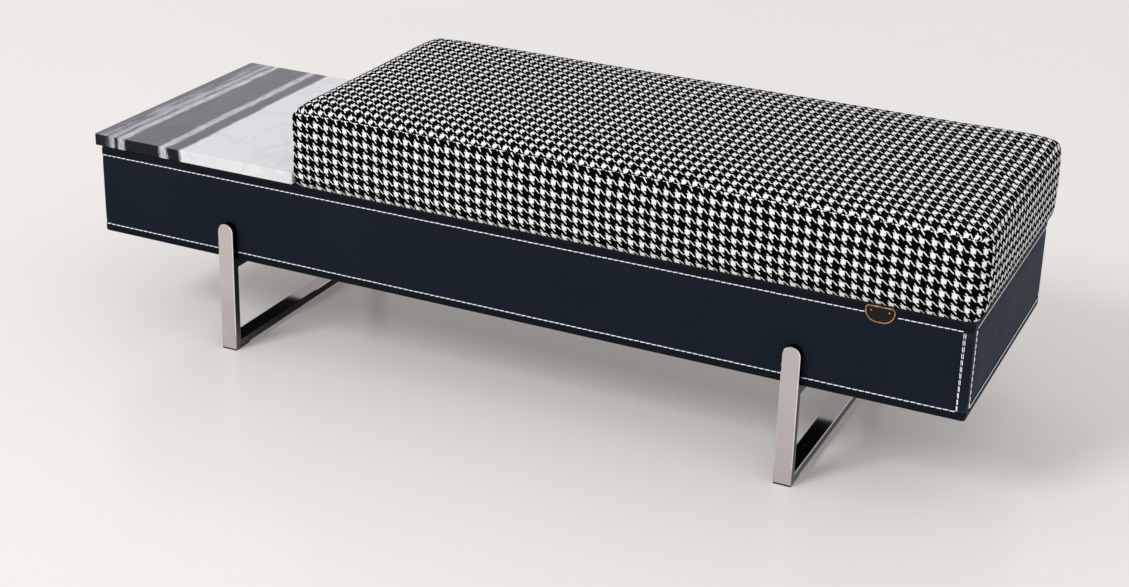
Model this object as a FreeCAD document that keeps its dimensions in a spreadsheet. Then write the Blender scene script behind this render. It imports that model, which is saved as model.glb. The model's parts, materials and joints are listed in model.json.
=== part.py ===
import FreeCAD, Part
import math
import os
import Sketcher
from FreeCAD import Placement, Rotation, Vector

# A bench: a leather covered box on two steel sled legs, with a loose stone slab
# at the left end and a loose boxed cushion over the rest.
# Millimetres. X runs along the bench, Y from front to back and Z up.
# The origin is on the floor under the middle of the bench.

doc = FreeCAD.newDocument("bench")
sizes = doc.addObject("Spreadsheet::Sheet", "sizes")
places = doc.addObject("Spreadsheet::Sheet", "places")
pieces = []

SIZES = (
    ("box_length", "1480", "leather box, end to end"),
    ("box_depth", "460", "leather box, front to back"),
    ("box_height", "150", "leather box"),
    ("leg_height", "160", "floor to the underside of the box"),
    ("leg_inset", "254", "middle of a leg from the end of the box"),
    ("bar_width", "28", "flat bar of the legs"),
    ("bar_thickness", "14", "flat bar of the legs"),
    ("bar_chamfer", "1", "broken edges of the flat bar"),
    ("horn_height", "64", "uprights above the underside of the box"),
    ("glide_height", "2", "pads under the floor bars"),
    ("glide_length", "40", "pads under the floor bars"),
    ("glide_inset", "0.5", "pads, from the edges of the bar"),
    ("leather", "2", "leather thickness"),
    ("padding", "3", "foam under the leather"),
    ("corner_round", "6", "upright corners of the leather"),
    ("edge_round", "1.8", "top and bottom edges of the leather"),
    ("border", "13.5", "sewn border along the top, bottom and front corner"),
    ("end_border", "20", "corner strip on the end of the box"),
    ("top_lip", "25", "border turned over onto the deck"),
    ("bottom_lip", "15", "border turned under the walls"),
    ("thread_width", "1.6", "stitching"),
    ("thread_proud", "0.5", "stitching above the leather"),
    ("thread_break", "1", "stitching, clear of what covers it"),
    ("wall", "18", "plywood walls of the box"),
    ("deck", "15", "plywood deck"),
    ("rib", "18", "board across the middle"),
    ("bearer_width", "60", "timber over each leg"),
    ("block_leg", "45", "glue blocks in the corners"),
    ("block_short", "10", "glue blocks, short of each end of the walls"),
    ("lining", "0.6", "cloth on the deck"),
    ("dust_cloth", "1", "cloth under the box"),
    ("screw_shank", "4", "wood screws, diameter"),
    ("screw_head", "8", "wood screws, diameter"),
    ("screw_length", "45", "wood screws"),
    ("leg_screw", "8", "screws up through the legs, diameter"),
    ("leg_screw_head", "16", "screws up through the legs, diameter"),
    ("leg_screw_spacing", "280", "between the two screws of a leg"),
    ("insert_outer", "12", "threaded inserts in the bearers, diameter"),
    ("insert_length", "20", "threaded inserts in the bearers"),
    ("screw_short", "1", "leg screws, short of the end of their inserts"),
    ("bolt_shank", "6", "bolts into the uprights, diameter"),
    ("bolt_head", "10", "bolts into the uprights, across flats"),
    ("bolt_head_height", "4", "bolts into the uprights"),
    ("bolt_reach", "9", "how far a bolt goes into its upright"),
    ("washer", "16", "washers under those bolts, diameter"),
    ("washer_thickness", "1.5", "washers under those bolts"),
    ("bolt_room", "2", "space between a washer and the bearer"),
    ("fit", "0.1", "clearance round a fastener"),
    ("badge_width", "44", "plate on the front"),
    ("badge_height", "25", "plate on the front"),
    ("badge_inset", "133", "middle of the plate from the right end of the box"),
    ("badge_drop", "0.5", "plate below the top of the box"),
    ("badge_plate", "1.5", "plate thickness"),
    ("badge_shoulder", "6", "upper corners of the plate"),
    ("badge_belly", "18", "lower corners of the plate"),
    ("badge_rim", "1.6", "raised edge of the plate, width"),
    ("badge_rim_height", "2.2", "raised edge of the plate, from the leather"),
    ("rivet", "2.6", "rivet heads, diameter"),
    ("slab_length", "387.5", "stone slab along the bench"),
    ("slab_thickness", "20", "stone slab"),
    ("slab_overhang", "10", "stone slab past the end of the box"),
    ("slab_proud", "1", "stone slab past the front and back of the box"),
    ("slab_ease", "1.5", "rounded edges of the slab"),
    ("slab_round", "3", "corners of the slab"),
    ("bumper", "14", "bumpers under the slab, diameter"),
    ("bumper_height", "1.5", "bumpers under the slab"),
    ("joint_gap", "1", "between the slab and the cushion"),
    ("seat_gap", "0.3", "between the leather and the cushion"),
    ("cushion_height", "139.7", "boxed cushion"),
    ("cushion_overhang", "10", "cushion past the end of the box"),
    ("cushion_proud", "5", "cushion past the front and back of the box"),
    ("cushion_corner", "22", "upright corners at the free end of the cushion"),
    ("joint_corner", "9", "upright corners of the cushion beside the slab"),
    ("top_round", "28", "rolled edge round the top of the cushion"),
    ("crown", "4", "rise of the top inside the rolled edge"),
    ("seam_drop", "14", "seam below the top of the cushion"),
    ("seam_draw", "2.5", "how far the seam pulls the side in"),
    ("seam_reach", "12", "how far below itself the seam pulls"),
    ("foot_draw", "8", "how far the bottom edge is pulled in"),
    ("cover", "2", "cover thickness"),
    ("soft_gap", "0.2", "clearance inside the cover"),
    ("seat_board", "12", "board in the bottom of the cushion"),
    ("topper", "26", "soft layer at the top of the cushion"),
    ("bottom_cloth", "1", "cloth under the cushion"),
    ("loop_strip", "1.5", "fastening strips under the cushion"),
    ("strip_width", "50", "fastening strips"),
    ("strip_inset", "20", "fastening strips, from the turned edge of the cover"),
    ("strip_gap", "0.2", "between the two halves of a fastening strip"),
)

PLACES = (
    ("half_length", "sizes.box_length / 2"),
    ("half_depth", "sizes.box_depth / 2"),
    ("box_bottom", "sizes.leg_height"),
    ("box_top", "sizes.leg_height + sizes.box_height"),
    ("wood_x", "sizes.box_length / 2 - sizes.leather - sizes.padding"),
    ("wood_y", "sizes.box_depth / 2 - sizes.leather - sizes.padding"),
    ("wood_bottom", "sizes.leg_height + sizes.leather"),
    ("deck_top", "sizes.leg_height + sizes.box_height - sizes.leather"),
    ("wall_top", "deck_top - sizes.deck"),
    ("wall_height", "wall_top - wood_bottom"),
    ("room_x", "wood_x - sizes.wall"),
    ("room_y", "wood_y - sizes.wall"),
    ("leg_x", "half_length - sizes.leg_inset"),
    ("bar_half", "sizes.bar_width / 2"),
    ("bar_face", "half_depth + sizes.bar_thickness"),
    ("bolt_z", "box_bottom + sizes.horn_height - sizes.bar_width / 2"),
    ("bearer_top", "bolt_z - sizes.washer / 2 - sizes.bolt_room"),
    ("leg_screw_y", "sizes.leg_screw_spacing / 2"),
    ("seam_x", "half_length - sizes.border"),
    ("seam_y", "half_depth - sizes.end_border"),
    ("seam_low", "box_bottom + sizes.border"),
    ("seam_high", "box_top - sizes.border"),
    ("lining_top", "deck_top + sizes.lining"),
    ("badge_top", "box_top - sizes.badge_drop"),
    ("badge_half", "sizes.badge_width / 2"),
    ("badge_x", "half_length - sizes.badge_inset"),
    ("slab_left", "-half_length - sizes.slab_overhang"),
    ("slab_right", "slab_left + sizes.slab_length"),
    ("slab_y", "half_depth + sizes.slab_proud"),
    ("slab_bottom", "box_top + sizes.bumper_height"),
    ("cushion_left", "slab_right + sizes.joint_gap"),
    ("cushion_right", "half_length + sizes.cushion_overhang"),
    ("cushion_x", "(cushion_left + cushion_right) / 2"),
    ("cushion_half", "(cushion_right - cushion_left) / 2"),
    ("cushion_y", "half_depth + sizes.cushion_proud"),
    ("cushion_bottom", "box_top + sizes.seat_gap"),
    ("board_bottom", "cushion_bottom + sizes.cover"),
    ("board_top", "board_bottom + sizes.seat_board"),
    ("board_inset", "sizes.foot_draw + sizes.cover + sizes.soft_gap"),
    ("turn_inset", "sizes.cushion_corner"),
    ("cloth_bottom", "board_bottom - sizes.bottom_cloth"),
    ("loop_bottom", "cloth_bottom - sizes.loop_strip"),
    ("strip_y", "half_depth - sizes.top_lip - sizes.strip_inset"),
)

for row, (alias, amount, meaning) in enumerate(SIZES, start=1):
    sizes.set(f"A{row}", meaning)
    sizes.set(f"B{row}", amount)
    sizes.setAlias(f"B{row}", alias)
doc.recompute()
for row, (alias, formula) in enumerate(PLACES, start=1):
    places.set(f"B{row}", f"={formula}")
    places.setAlias(f"B{row}", alias)
    doc.recompute()

TURNS = {
    "+X": Rotation(Vector(0, 1, 0), 90),
    "+Y": Rotation(Vector(1, 0, 0), -90),
    "-Y": Rotation(Vector(1, 0, 0), 90),
    "+Z": Rotation(),
    "-Z": Rotation(Vector(1, 0, 0), 180),
}


def value(expression):
    """Work out an expression now, for a drawing's first lines and for freely made shapes."""
    return float(sizes.evalExpression(expression))


def piece(thing):
    """Count a finished object as one of the bench's pieces."""
    pieces.append(thing)
    return thing


def move(thing, place, turn="+Z"):
    """Put an object at a place given by three expressions."""
    thing.Placement = Placement(Vector(), TURNS[turn])
    for axis, expression in zip("xyz", place):
        thing.setExpression(f"Placement.Base.{axis}", expression)


def flip(side, low, high):
    """A stretch along one axis, or its mirror image on the other side of the middle."""
    if side > 0:
        return low, high
    return f"-({high})", f"-({low})"


def signed(side, expression):
    """A distance from the middle, towards one side or the other."""
    return expression if side > 0 else f"-({expression})"


def block(label, x, y, z):
    """A box between two planes on each axis."""
    box = doc.addObject("Part::Box", label)
    move(box, (x[0], y[0], z[0]))
    for size, (low, high) in zip(("Length", "Width", "Height"), (x, y, z)):
        box.setExpression(size, f"({high}) - ({low})")
    return box


def rod(label, radius, length, place, turn="+Z"):
    """A cylinder that starts at a place and runs along one axis."""
    cylinder = doc.addObject("Part::Cylinder", label)
    move(cylinder, place, turn)
    cylinder.setExpression("Radius", radius)
    cylinder.setExpression("Height", length)
    return cylinder


def fuse(label, base, tool):
    joined = doc.addObject("Part::Fuse", label)
    joined.Base = base
    joined.Tool = tool
    return joined


def cut(label, base, tool):
    rest = doc.addObject("Part::Cut", label)
    rest.Base = base
    rest.Tool = tool
    return rest


def group(label, members):
    """Separate solids kept together under one name."""
    together = doc.addObject("Part::Compound", label)
    together.Links = members
    return together


def countersunk(label, place, turn, shank, head, length, grow="0"):
    """A countersunk screw with its head at a place, or the hole for it when grown."""
    cone = doc.addObject("Part::Cone", f"{label}_head")
    move(cone, place, turn)
    cone.setExpression("Radius1", f"{head} / 2 + {grow}")
    cone.setExpression("Radius2", f"{shank} / 2 + {grow}")
    cone.setExpression("Height", f"({head} - {shank}) / 2")
    stem = rod(f"{label}_stem", f"{shank} / 2 + {grow}", f"{length} + {grow}", place, turn)
    return fuse(label, cone, stem)


def new_sketch(body, name, plane, offset):
    """An empty sketch on one of its body's own planes, moved along the plane's normal."""
    sketch = body.newObject("Sketcher::SketchObject", name)
    support = [feature for feature in body.Origin.OriginFeatures if feature.Role == plane][0]
    sketch.AttachmentSupport = [(support, "")]
    sketch.MapMode = "FlatFace"
    sketch.setExpression("AttachmentOffset.Base.z", offset)
    return sketch


def bound(sketch, kind, places_on_lines, amount, expression):
    """Add a dimension that follows an expression."""
    number = sketch.addConstraint(Sketcher.Constraint(kind, *places_on_lines, amount))
    sketch.setExpression(f"Constraints[{number}]", expression)


def outline(sketch, corners):
    """Draw a closed outline of level and upright lines. A corner with a radius is rounded."""
    count = len(corners)
    points = [Vector(value(x), value(y), 0) for x, y, radius in corners]
    radii = [value(radius) if radius else 0 for x, y, radius in corners]
    ways = []
    lines = []
    for number, point in enumerate(points):
        following = (number + 1) % count
        way = points[following].sub(point)
        way.normalize()
        ways.append(way)
        line = Part.LineSegment(point + way * radii[number], points[following] - way * radii[following])
        lines.append(sketch.addGeometry(line, False))
    for number, (x, y, radius) in enumerate(corners):
        line = lines[number]
        before = lines[number - 1]
        level = abs(ways[number].y) < 0.5
        sketch.addConstraint(Sketcher.Constraint("Horizontal" if level else "Vertical", line))
        if level:
            bound(sketch, "DistanceY", (-1, 1, line, 1), points[number].y, y)
        else:
            bound(sketch, "DistanceX", (-1, 1, line, 1), points[number].x, x)
        if not radius:
            sketch.addConstraint(Sketcher.Constraint("Coincident", before, 2, line, 1))
            continue
        coming, going = ways[number - 1], ways[number]
        start = points[number] - coming * radii[number]
        end = points[number] + going * radii[number]
        centre = start + going * radii[number]
        middle = centre + (points[number] - centre) * math.sqrt(0.5)
        arc = sketch.addGeometry(Part.Arc(start, middle, end), False)
        first, last = (1, 2) if coming.cross(going).z > 0 else (2, 1)
        sketch.addConstraint(Sketcher.Constraint("Tangent", before, 2, arc, first))
        sketch.addConstraint(Sketcher.Constraint("Tangent", arc, last, line, 1))
        bound(sketch, "Radius", (arc,), radii[number], radius)


def rectangle(sketch, half_x, half_y, radius=None, middle="0"):
    """Draw a rectangle, rounded if it has a radius."""
    low_x, high_x = f"{middle} - ({half_x})", f"{middle} + ({half_x})"
    low_y, high_y = f"-({half_y})", half_y
    outline(sketch, [(low_x, low_y, radius), (high_x, low_y, radius),
                     (high_x, high_y, radius), (low_x, high_y, radius)])


def arch(sketch, half, flat, centre):
    """Draw an outline with one flat end and one half-round end, upright on the sketch's axis."""
    width, foot, spring = value(half), value(flat), value(centre)
    up = 1 if spring > foot else -1
    crown = Vector(0, spring + up * width, 0)
    left_foot, right_foot = Vector(-width, foot, 0), Vector(width, foot, 0)
    left_top, right_top = Vector(-width, spring, 0), Vector(width, spring, 0)
    base = sketch.addGeometry(Part.LineSegment(left_foot, right_foot), False)
    right = sketch.addGeometry(Part.LineSegment(right_foot, right_top), False)
    left = sketch.addGeometry(Part.LineSegment(left_top, left_foot), False)
    arc = sketch.addGeometry(Part.Arc(right_top, crown, left_top), False)
    first, last = (1, 2) if up > 0 else (2, 1)
    for constraint in (("Coincident", base, 2, right, 1), ("Coincident", left, 2, base, 1),
                       ("Tangent", right, 2, arc, first), ("Tangent", arc, last, left, 1),
                       ("Horizontal", base), ("Vertical", right), ("Vertical", left),
                       ("PointOnObject", arc, 3, -2)):
        sketch.addConstraint(Sketcher.Constraint(*constraint))
    bound(sketch, "DistanceX", (-1, 1, base, 2), width, half)
    bound(sketch, "DistanceY", (-1, 1, base, 2), foot, flat)
    bound(sketch, "DistanceY", (-1, 1, arc, 3), spring, centre)


def pad(body, name, sketch, length, reverse=False):
    """Give a sketch its thickness."""
    feature = body.newObject("PartDesign::Pad", name)
    feature.Profile = sketch
    feature.Reversed = reverse
    feature.setExpression("Length", length)
    doc.recompute()
    return feature


def edges_on(shape, axis, level):
    """The names of the edges that lie in one plane."""
    names = []
    for number, edge in enumerate(shape.Edges, start=1):
        box = edge.BoundBox
        low, high = getattr(box, f"{axis}Min"), getattr(box, f"{axis}Max")
        if abs(low - level) < 1e-4 and abs(high - level) < 1e-4:
            names.append(f"Edge{number}")
    return names


# Fasteners of the box: screws through the front and rear walls, screws down through
# the deck, and bolts out through the walls into the uprights.

frame_screws = []
frame_holes = []
deck_screws = []
deck_holes = []
upright_bolts = []
upright_washers = []
bolt_holes = []

low_screw = "places.wood_bottom + places.wall_height * 0.25"
high_screw = "places.wood_bottom + places.wall_height * 0.75"
bearer_screw = "(places.wood_bottom + places.bearer_top) / 2"
frame_spots = []
for end in (-1, 1):
    end_x = signed(end, "places.wood_x - sizes.wall / 2")
    frame_spots += [(end_x, low_screw), (end_x, high_screw)]
    for offset in (-0.3, 0.3):
        frame_spots.append((f"{signed(end, 'places.leg_x')} + sizes.bearer_width * {offset}", bearer_screw))
frame_spots += [("0", low_screw), ("0", high_screw)]

wood_screw = ("sizes.screw_shank", "sizes.screw_head", "sizes.screw_length")
for side, turn in ((-1, "+Y"), (1, "-Y")):
    for x, z in frame_spots:
        spot = (x, signed(side, "places.wood_y"), z)
        tag = len(frame_screws)
        frame_screws.append(countersunk(f"frame_screw_{tag}", spot, turn, *wood_screw))
        frame_holes.append(countersunk(f"frame_hole_{tag}", spot, turn, *wood_screw, "sizes.fit"))
    for part_way in (-0.87, -0.33, 0.33, 0.87):
        over_wall = signed(side, "places.wood_y - sizes.wall / 2")
        spot = (f"places.wood_x * {part_way}", over_wall, "places.deck_top")
        tag = len(deck_screws)
        deck_screws.append(countersunk(f"deck_screw_{tag}", spot, "-Z", *wood_screw))
        deck_holes.append(countersunk(f"deck_hole_{tag}", spot, "-Z", *wood_screw, "sizes.fit"))

outward = {-1: "-Y", 1: "+Y"}
under_head = "places.room_y - sizes.washer_thickness"
for side in (-1, 1):
    for end in (-1, 1):
        tag = f"{len(upright_bolts)}"
        x = signed(end, "places.leg_x")
        seat = (x, signed(side, under_head), "places.bolt_z")
        inside = (x, signed(side, f"{under_head} - sizes.bolt_head_height"), "places.bolt_z")
        head = doc.addObject("Part::Prism", f"bolt_head_{tag}")
        move(head, inside, outward[side])
        head.Polygon = 6
        head.setExpression("Circumradius", "sizes.bolt_head / sqrt(3)")
        head.setExpression("Height", "sizes.bolt_head_height")
        reach = f"places.half_depth - ({under_head}) + sizes.bolt_reach"
        stem = rod(f"bolt_stem_{tag}", "sizes.bolt_shank / 2", reach, seat, outward[side])
        upright_bolts.append(fuse(f"upright_bolt_{tag}", head, stem))
        bore = "sizes.bolt_shank / 2 + sizes.fit"
        disc = rod(f"washer_disc_{tag}", "sizes.washer / 2", "sizes.washer_thickness", seat, outward[side])
        eye = rod(f"washer_eye_{tag}", bore, "sizes.washer_thickness", seat, outward[side])
        upright_washers.append(cut(f"upright_washer_{tag}", disc, eye))
        inner_face = (x, signed(side, "places.room_y"), "places.bolt_z")
        through = "places.half_depth - places.room_y"
        bolt_holes.append(rod(f"bolt_hole_{tag}", bore, through, inner_face, outward[side]))

frame_tools = group("frame_screw_holes", frame_holes)
deck_tools = group("deck_screw_holes", deck_holes)
bolt_tools = group("upright_bolt_holes", bolt_holes)

# Screws up through the top bars into threaded inserts.

leg_screws = []
leg_screw_holes = []
leg_inserts = []
insert_holes = []
cloth_holes = []
under_bar = "places.box_bottom - sizes.bar_thickness"
screw_rise = "sizes.bar_thickness + sizes.leather + sizes.insert_length - sizes.screw_short"
leg_screw_sizes = ("sizes.leg_screw", "sizes.leg_screw_head", screw_rise)
for end in (-1, 1):
    for side in (-1, 1):
        tag = len(leg_screws)
        x, y = signed(end, "places.leg_x"), signed(side, "places.leg_screw_y")
        spot = (x, y, under_bar)
        leg_screws.append(countersunk(f"leg_screw_{tag}", spot, "+Z", *leg_screw_sizes))
        hole = countersunk(f"leg_screw_hole_{tag}", spot, "+Z", *leg_screw_sizes, "sizes.fit")
        leg_screw_holes.append(hole)
        foot = (x, y, "places.wood_bottom")
        sleeve = rod(f"insert_sleeve_{tag}", "sizes.insert_outer / 2", "sizes.insert_length", foot)
        thread = rod(f"insert_thread_{tag}", "sizes.leg_screw / 2 + sizes.fit", "sizes.insert_length", foot)
        leg_inserts.append(cut(f"leg_insert_{tag}", sleeve, thread))
        socket = "sizes.insert_outer / 2 + sizes.fit"
        insert_holes.append(rod(f"insert_hole_{tag}", socket, "sizes.insert_length + sizes.fit", foot))
        beneath = (x, y, "places.wood_bottom - sizes.dust_cloth")
        cloth_holes.append(rod(f"cloth_hole_{tag}", socket, "sizes.dust_cloth", beneath))

leg_tools = group("leg_screw_holes", leg_screw_holes)
insert_tools = group("insert_holes", insert_holes)
cloth_tools = group("cloth_holes", cloth_holes)

# Box: plywood walls, ribs, bearers and deck.

walls_z = ("places.wood_bottom", "places.wall_top")
across = ("-places.room_y", "places.room_y")
along = ("-places.wood_x", "places.wood_x")
wall_tools = group("wall_holes", [frame_tools, deck_tools, bolt_tools])
for side, name in ((-1, "front"), (1, "rear")):
    blank = block(f"{name}_rail_blank", along, flip(side, "places.room_y", "places.wood_y"), walls_z)
    piece(cut(f"{name}_rail", blank, wall_tools))
for end, name in ((-1, "left"), (1, "right")):
    blank = block(f"{name}_end_blank", flip(end, "places.room_x", "places.wood_x"), across, walls_z)
    piece(cut(f"{name}_end_board", blank, frame_tools))
    middle = signed(end, "places.leg_x")
    stretch = (f"{middle} - sizes.bearer_width / 2", f"{middle} + sizes.bearer_width / 2")
    blank = block(f"{name}_bearer_blank", stretch, across, ("places.wood_bottom", "places.bearer_top"))
    tools = group(f"{name}_bearer_holes", [frame_tools, insert_tools])
    piece(cut(f"{name}_leg_bearer", blank, tools))
blank = block("centre_rib_blank", ("-sizes.rib / 2", "sizes.rib / 2"), across, walls_z)
piece(cut("centre_rib", blank, frame_tools))
blank = block("deck_blank", along, ("-places.wood_y", "places.wood_y"),
              ("places.wall_top", "places.deck_top"))
piece(cut("deck_board", blank, deck_tools))

blocks = []
for quarter, (end, side) in enumerate(((-1, -1), (1, -1), (1, 1), (-1, 1))):
    corner = doc.addObject("Part::Wedge", f"corner_block_{quarter}")
    corner.Xmin = corner.Ymin = corner.Zmin = 0
    corner.X2min = corner.X2max = corner.Z2min = 0
    for side_length in ("Xmax", "Ymax"):
        corner.setExpression(side_length, "sizes.block_leg")
    for height in ("Zmax", "Z2max"):
        corner.setExpression(height, "places.wall_height - 2 * sizes.block_short")
    spot = (signed(end, "places.room_x"), signed(side, "places.room_y"),
            "places.wood_bottom + sizes.block_short")
    move(corner, spot)
    corner.Placement = Placement(corner.Placement.Base, Rotation(Vector(0, 0, 1), 90 * quarter))
    blocks.append(corner)
piece(group("corner_blocks", blocks))
piece(group("frame_screws", frame_screws))
piece(group("deck_screws", deck_screws))

# Foam and leather round the box.

wall_x, wall_y = "places.half_length - sizes.leather", "places.half_depth - sizes.leather"
inner_round = "sizes.corner_round - sizes.leather"


def drilled(label, body):
    """Bolt holes through a cover."""
    doc.recompute()
    body.Label = f"{label}_blank"
    return piece(cut(label, body, bolt_tools))


body = doc.addObject("PartDesign::Body", "padding_wrap_blank")
sketch = new_sketch(body, "padding_outline", "XY_Plane", "places.wood_bottom")
rectangle(sketch, wall_x, wall_y, inner_round)
rectangle(sketch, "places.wood_x", "places.wood_y")
pad(body, "padding_height", sketch, "places.deck_top - places.wood_bottom")
drilled("padding_wrap", body)

wrap_corners = (
    ("-places.half_length", "-places.half_depth", "sizes.corner_round"),
    ("places.seam_x", "-places.half_depth", None),
    ("places.seam_x", f"-({wall_y})", None),
    (f"-({wall_x})", f"-({wall_y})", inner_round),
    (f"-({wall_x})", "places.seam_y", None),
    ("-places.half_length", "places.seam_y", None),
)
strip_corners = (
    ("places.half_length", "-places.half_depth", "sizes.corner_round"),
    ("places.half_length", "-places.seam_y", None),
    (wall_x, "-places.seam_y", None),
    (wall_x, f"-({wall_y})", inner_round),
    ("places.seam_x", f"-({wall_y})", None),
    ("places.seam_x", "-places.half_depth", None),
)


def upright_cover(label, corners, side):
    """A leather cover between the two borders, as drawn or turned half way round the bench."""
    body = doc.addObject("PartDesign::Body", f"{label}_blank")
    sketch = new_sketch(body, f"{label}_outline", "XY_Plane", "places.seam_low")
    outline(sketch, [(signed(side, x), signed(side, y), radius) for x, y, radius in corners])
    pad(body, f"{label}_height", sketch, "places.seam_high - places.seam_low")
    return body


drilled("leather_front_left", upright_cover("leather_front_left", wrap_corners, 1))
drilled("leather_rear_right", upright_cover("leather_rear_right", wrap_corners, -1))
for label, side in (("leather_corner_front_right", 1), ("leather_corner_rear_left", -1)):
    strip = upright_cover(label, strip_corners, side)
    strip.Label = label
    piece(strip)


def border(label, lip, lip_z, wall_z, wall_length, edge_z):
    """A border strip round the box: an upright part and a lip turned over a rounded edge."""
    body = doc.addObject("PartDesign::Body", label)
    sketch = new_sketch(body, f"{label}_lip_outline", "XY_Plane", lip_z)
    rectangle(sketch, "places.half_length", "places.half_depth", "sizes.corner_round")
    rectangle(sketch, f"places.half_length - {lip}", f"places.half_depth - {lip}")
    pad(body, f"{label}_lip", sketch, "sizes.leather")
    sketch = new_sketch(body, f"{label}_wall_outline", "XY_Plane", wall_z)
    rectangle(sketch, "places.half_length", "places.half_depth", "sizes.corner_round")
    rectangle(sketch, wall_x, wall_y, inner_round)
    wall = pad(body, f"{label}_wall", sketch, wall_length)
    reach_x, reach_y = value(f"places.half_length - {lip}"), value(f"places.half_depth - {lip}")
    outer = []
    for name in edges_on(wall.Shape, "Z", value(edge_z)):
        middle = wall.Shape.getElement(name).CenterOfMass
        if abs(middle.x) > reach_x + 1 or abs(middle.y) > reach_y + 1:
            outer.append(name)
    fold = body.newObject("PartDesign::Fillet", f"{label}_fold")
    fold.Base = (wall, outer)
    fold.setExpression("Radius", "sizes.edge_round")
    piece(body)


border("leather_top_border", "sizes.top_lip", "places.deck_top",
       "places.seam_high", "sizes.border - sizes.leather", "places.box_top")
border("leather_bottom_border", "sizes.bottom_lip", "places.box_bottom",
       "places.wood_bottom", "sizes.border - sizes.leather", "places.box_bottom")

# Stitching: raised runs of thread on the seams, with breaks at the uprights and the plate.

half_thread = "sizes.thread_width / 2"
thread_start = "-places.half_length + sizes.corner_round"
thread_end = f"places.seam_x - {half_thread}"
beside_bar = "places.bar_half + sizes.thread_break"
badge_left = "places.badge_x - places.badge_half - sizes.thread_break"
badge_right = "places.badge_x + places.badge_half + sizes.thread_break"
bottom_runs = (
    (thread_start, f"-places.leg_x - ({beside_bar})"),
    (f"-places.leg_x + {beside_bar}", f"places.leg_x - ({beside_bar})"),
    (f"places.leg_x + {beside_bar}", thread_end),
)
top_runs = {1: ((thread_start, badge_left), (badge_right, thread_end)), -1: ((thread_start, thread_end),)}
seam_band = {
    "low": (f"places.seam_low - {half_thread}", f"places.seam_low + {half_thread}"),
    "high": (f"places.seam_high - {half_thread}", f"places.seam_high + {half_thread}"),
}
upright_run = (f"places.seam_low - {half_thread}", f"places.seam_high + {half_thread}")
threads = []
for side in (1, -1):
    face_y = flip(side, "-places.half_depth - sizes.thread_proud", "-places.half_depth")
    face_x = flip(side, "places.half_length", "places.half_length + sizes.thread_proud")
    runs = [(run, face_y, seam_band["low"]) for run in bottom_runs]
    runs += [(run, face_y, seam_band["high"]) for run in top_runs[side]]
    runs.append(((f"places.seam_x - {half_thread}", f"places.seam_x + {half_thread}"), face_y, upright_run))
    for run, face, band in runs:
        threads.append(block(f"thread_{len(threads)}", flip(side, *run), face, band))
    end_run = flip(side, f"-places.seam_y + {half_thread}", "places.half_depth - sizes.corner_round")
    for level in ("low", "high"):
        threads.append(block(f"thread_{len(threads)}", face_x, end_run, seam_band[level]))
    end_seam = flip(side, f"-places.seam_y - {half_thread}", f"-places.seam_y + {half_thread}")
    threads.append(block(f"thread_{len(threads)}", face_x, end_seam, upright_run))
piece(group("stitching", threads))

# Cloth on the deck and under the box.

lining_x = "places.half_length - sizes.top_lip - sizes.soft_gap"
lining_y = "places.half_depth - sizes.top_lip - sizes.soft_gap"
piece(block("deck_lining", (f"-({lining_x})", lining_x), (f"-({lining_y})", lining_y),
            ("places.deck_top", "places.lining_top")))
dust_x = "places.half_length - sizes.bottom_lip - sizes.soft_gap"
dust_y = "places.half_depth - sizes.bottom_lip - sizes.soft_gap"
blank = block("dust_blank", (f"-({dust_x})", dust_x), (f"-({dust_y})", dust_y),
              ("places.wood_bottom - sizes.dust_cloth", "places.wood_bottom"))
piece(cut("dust_cover", blank, cloth_tools))

# Legs: flat bar bent and welded into a sled, with the uprights carried up the box.


def chamfered_bar(label, middle, low, high):
    """A level bar from front to back with its long edges broken."""
    body = doc.addObject("PartDesign::Body", label)
    sketch = new_sketch(body, f"{label}_section", "XZ_Plane", "places.half_depth")
    outline(sketch, [("-places.bar_half", low, None), ("places.bar_half", low, None),
                     ("places.bar_half", high, None), ("-places.bar_half", high, None)])
    bar = pad(body, f"{label}_length", sketch, "sizes.box_depth", reverse=True)
    chamfer = body.newObject("PartDesign::Chamfer", f"{label}_edges")
    long_edges = [f"Edge{number}" for number, edge in enumerate(bar.Shape.Edges, start=1)
                  if edge.BoundBox.YLength > 1]
    chamfer.Base = (bar, long_edges)
    chamfer.setExpression("Size", "sizes.bar_chamfer")
    move(body, (middle, "0", "0"))
    return body


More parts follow.
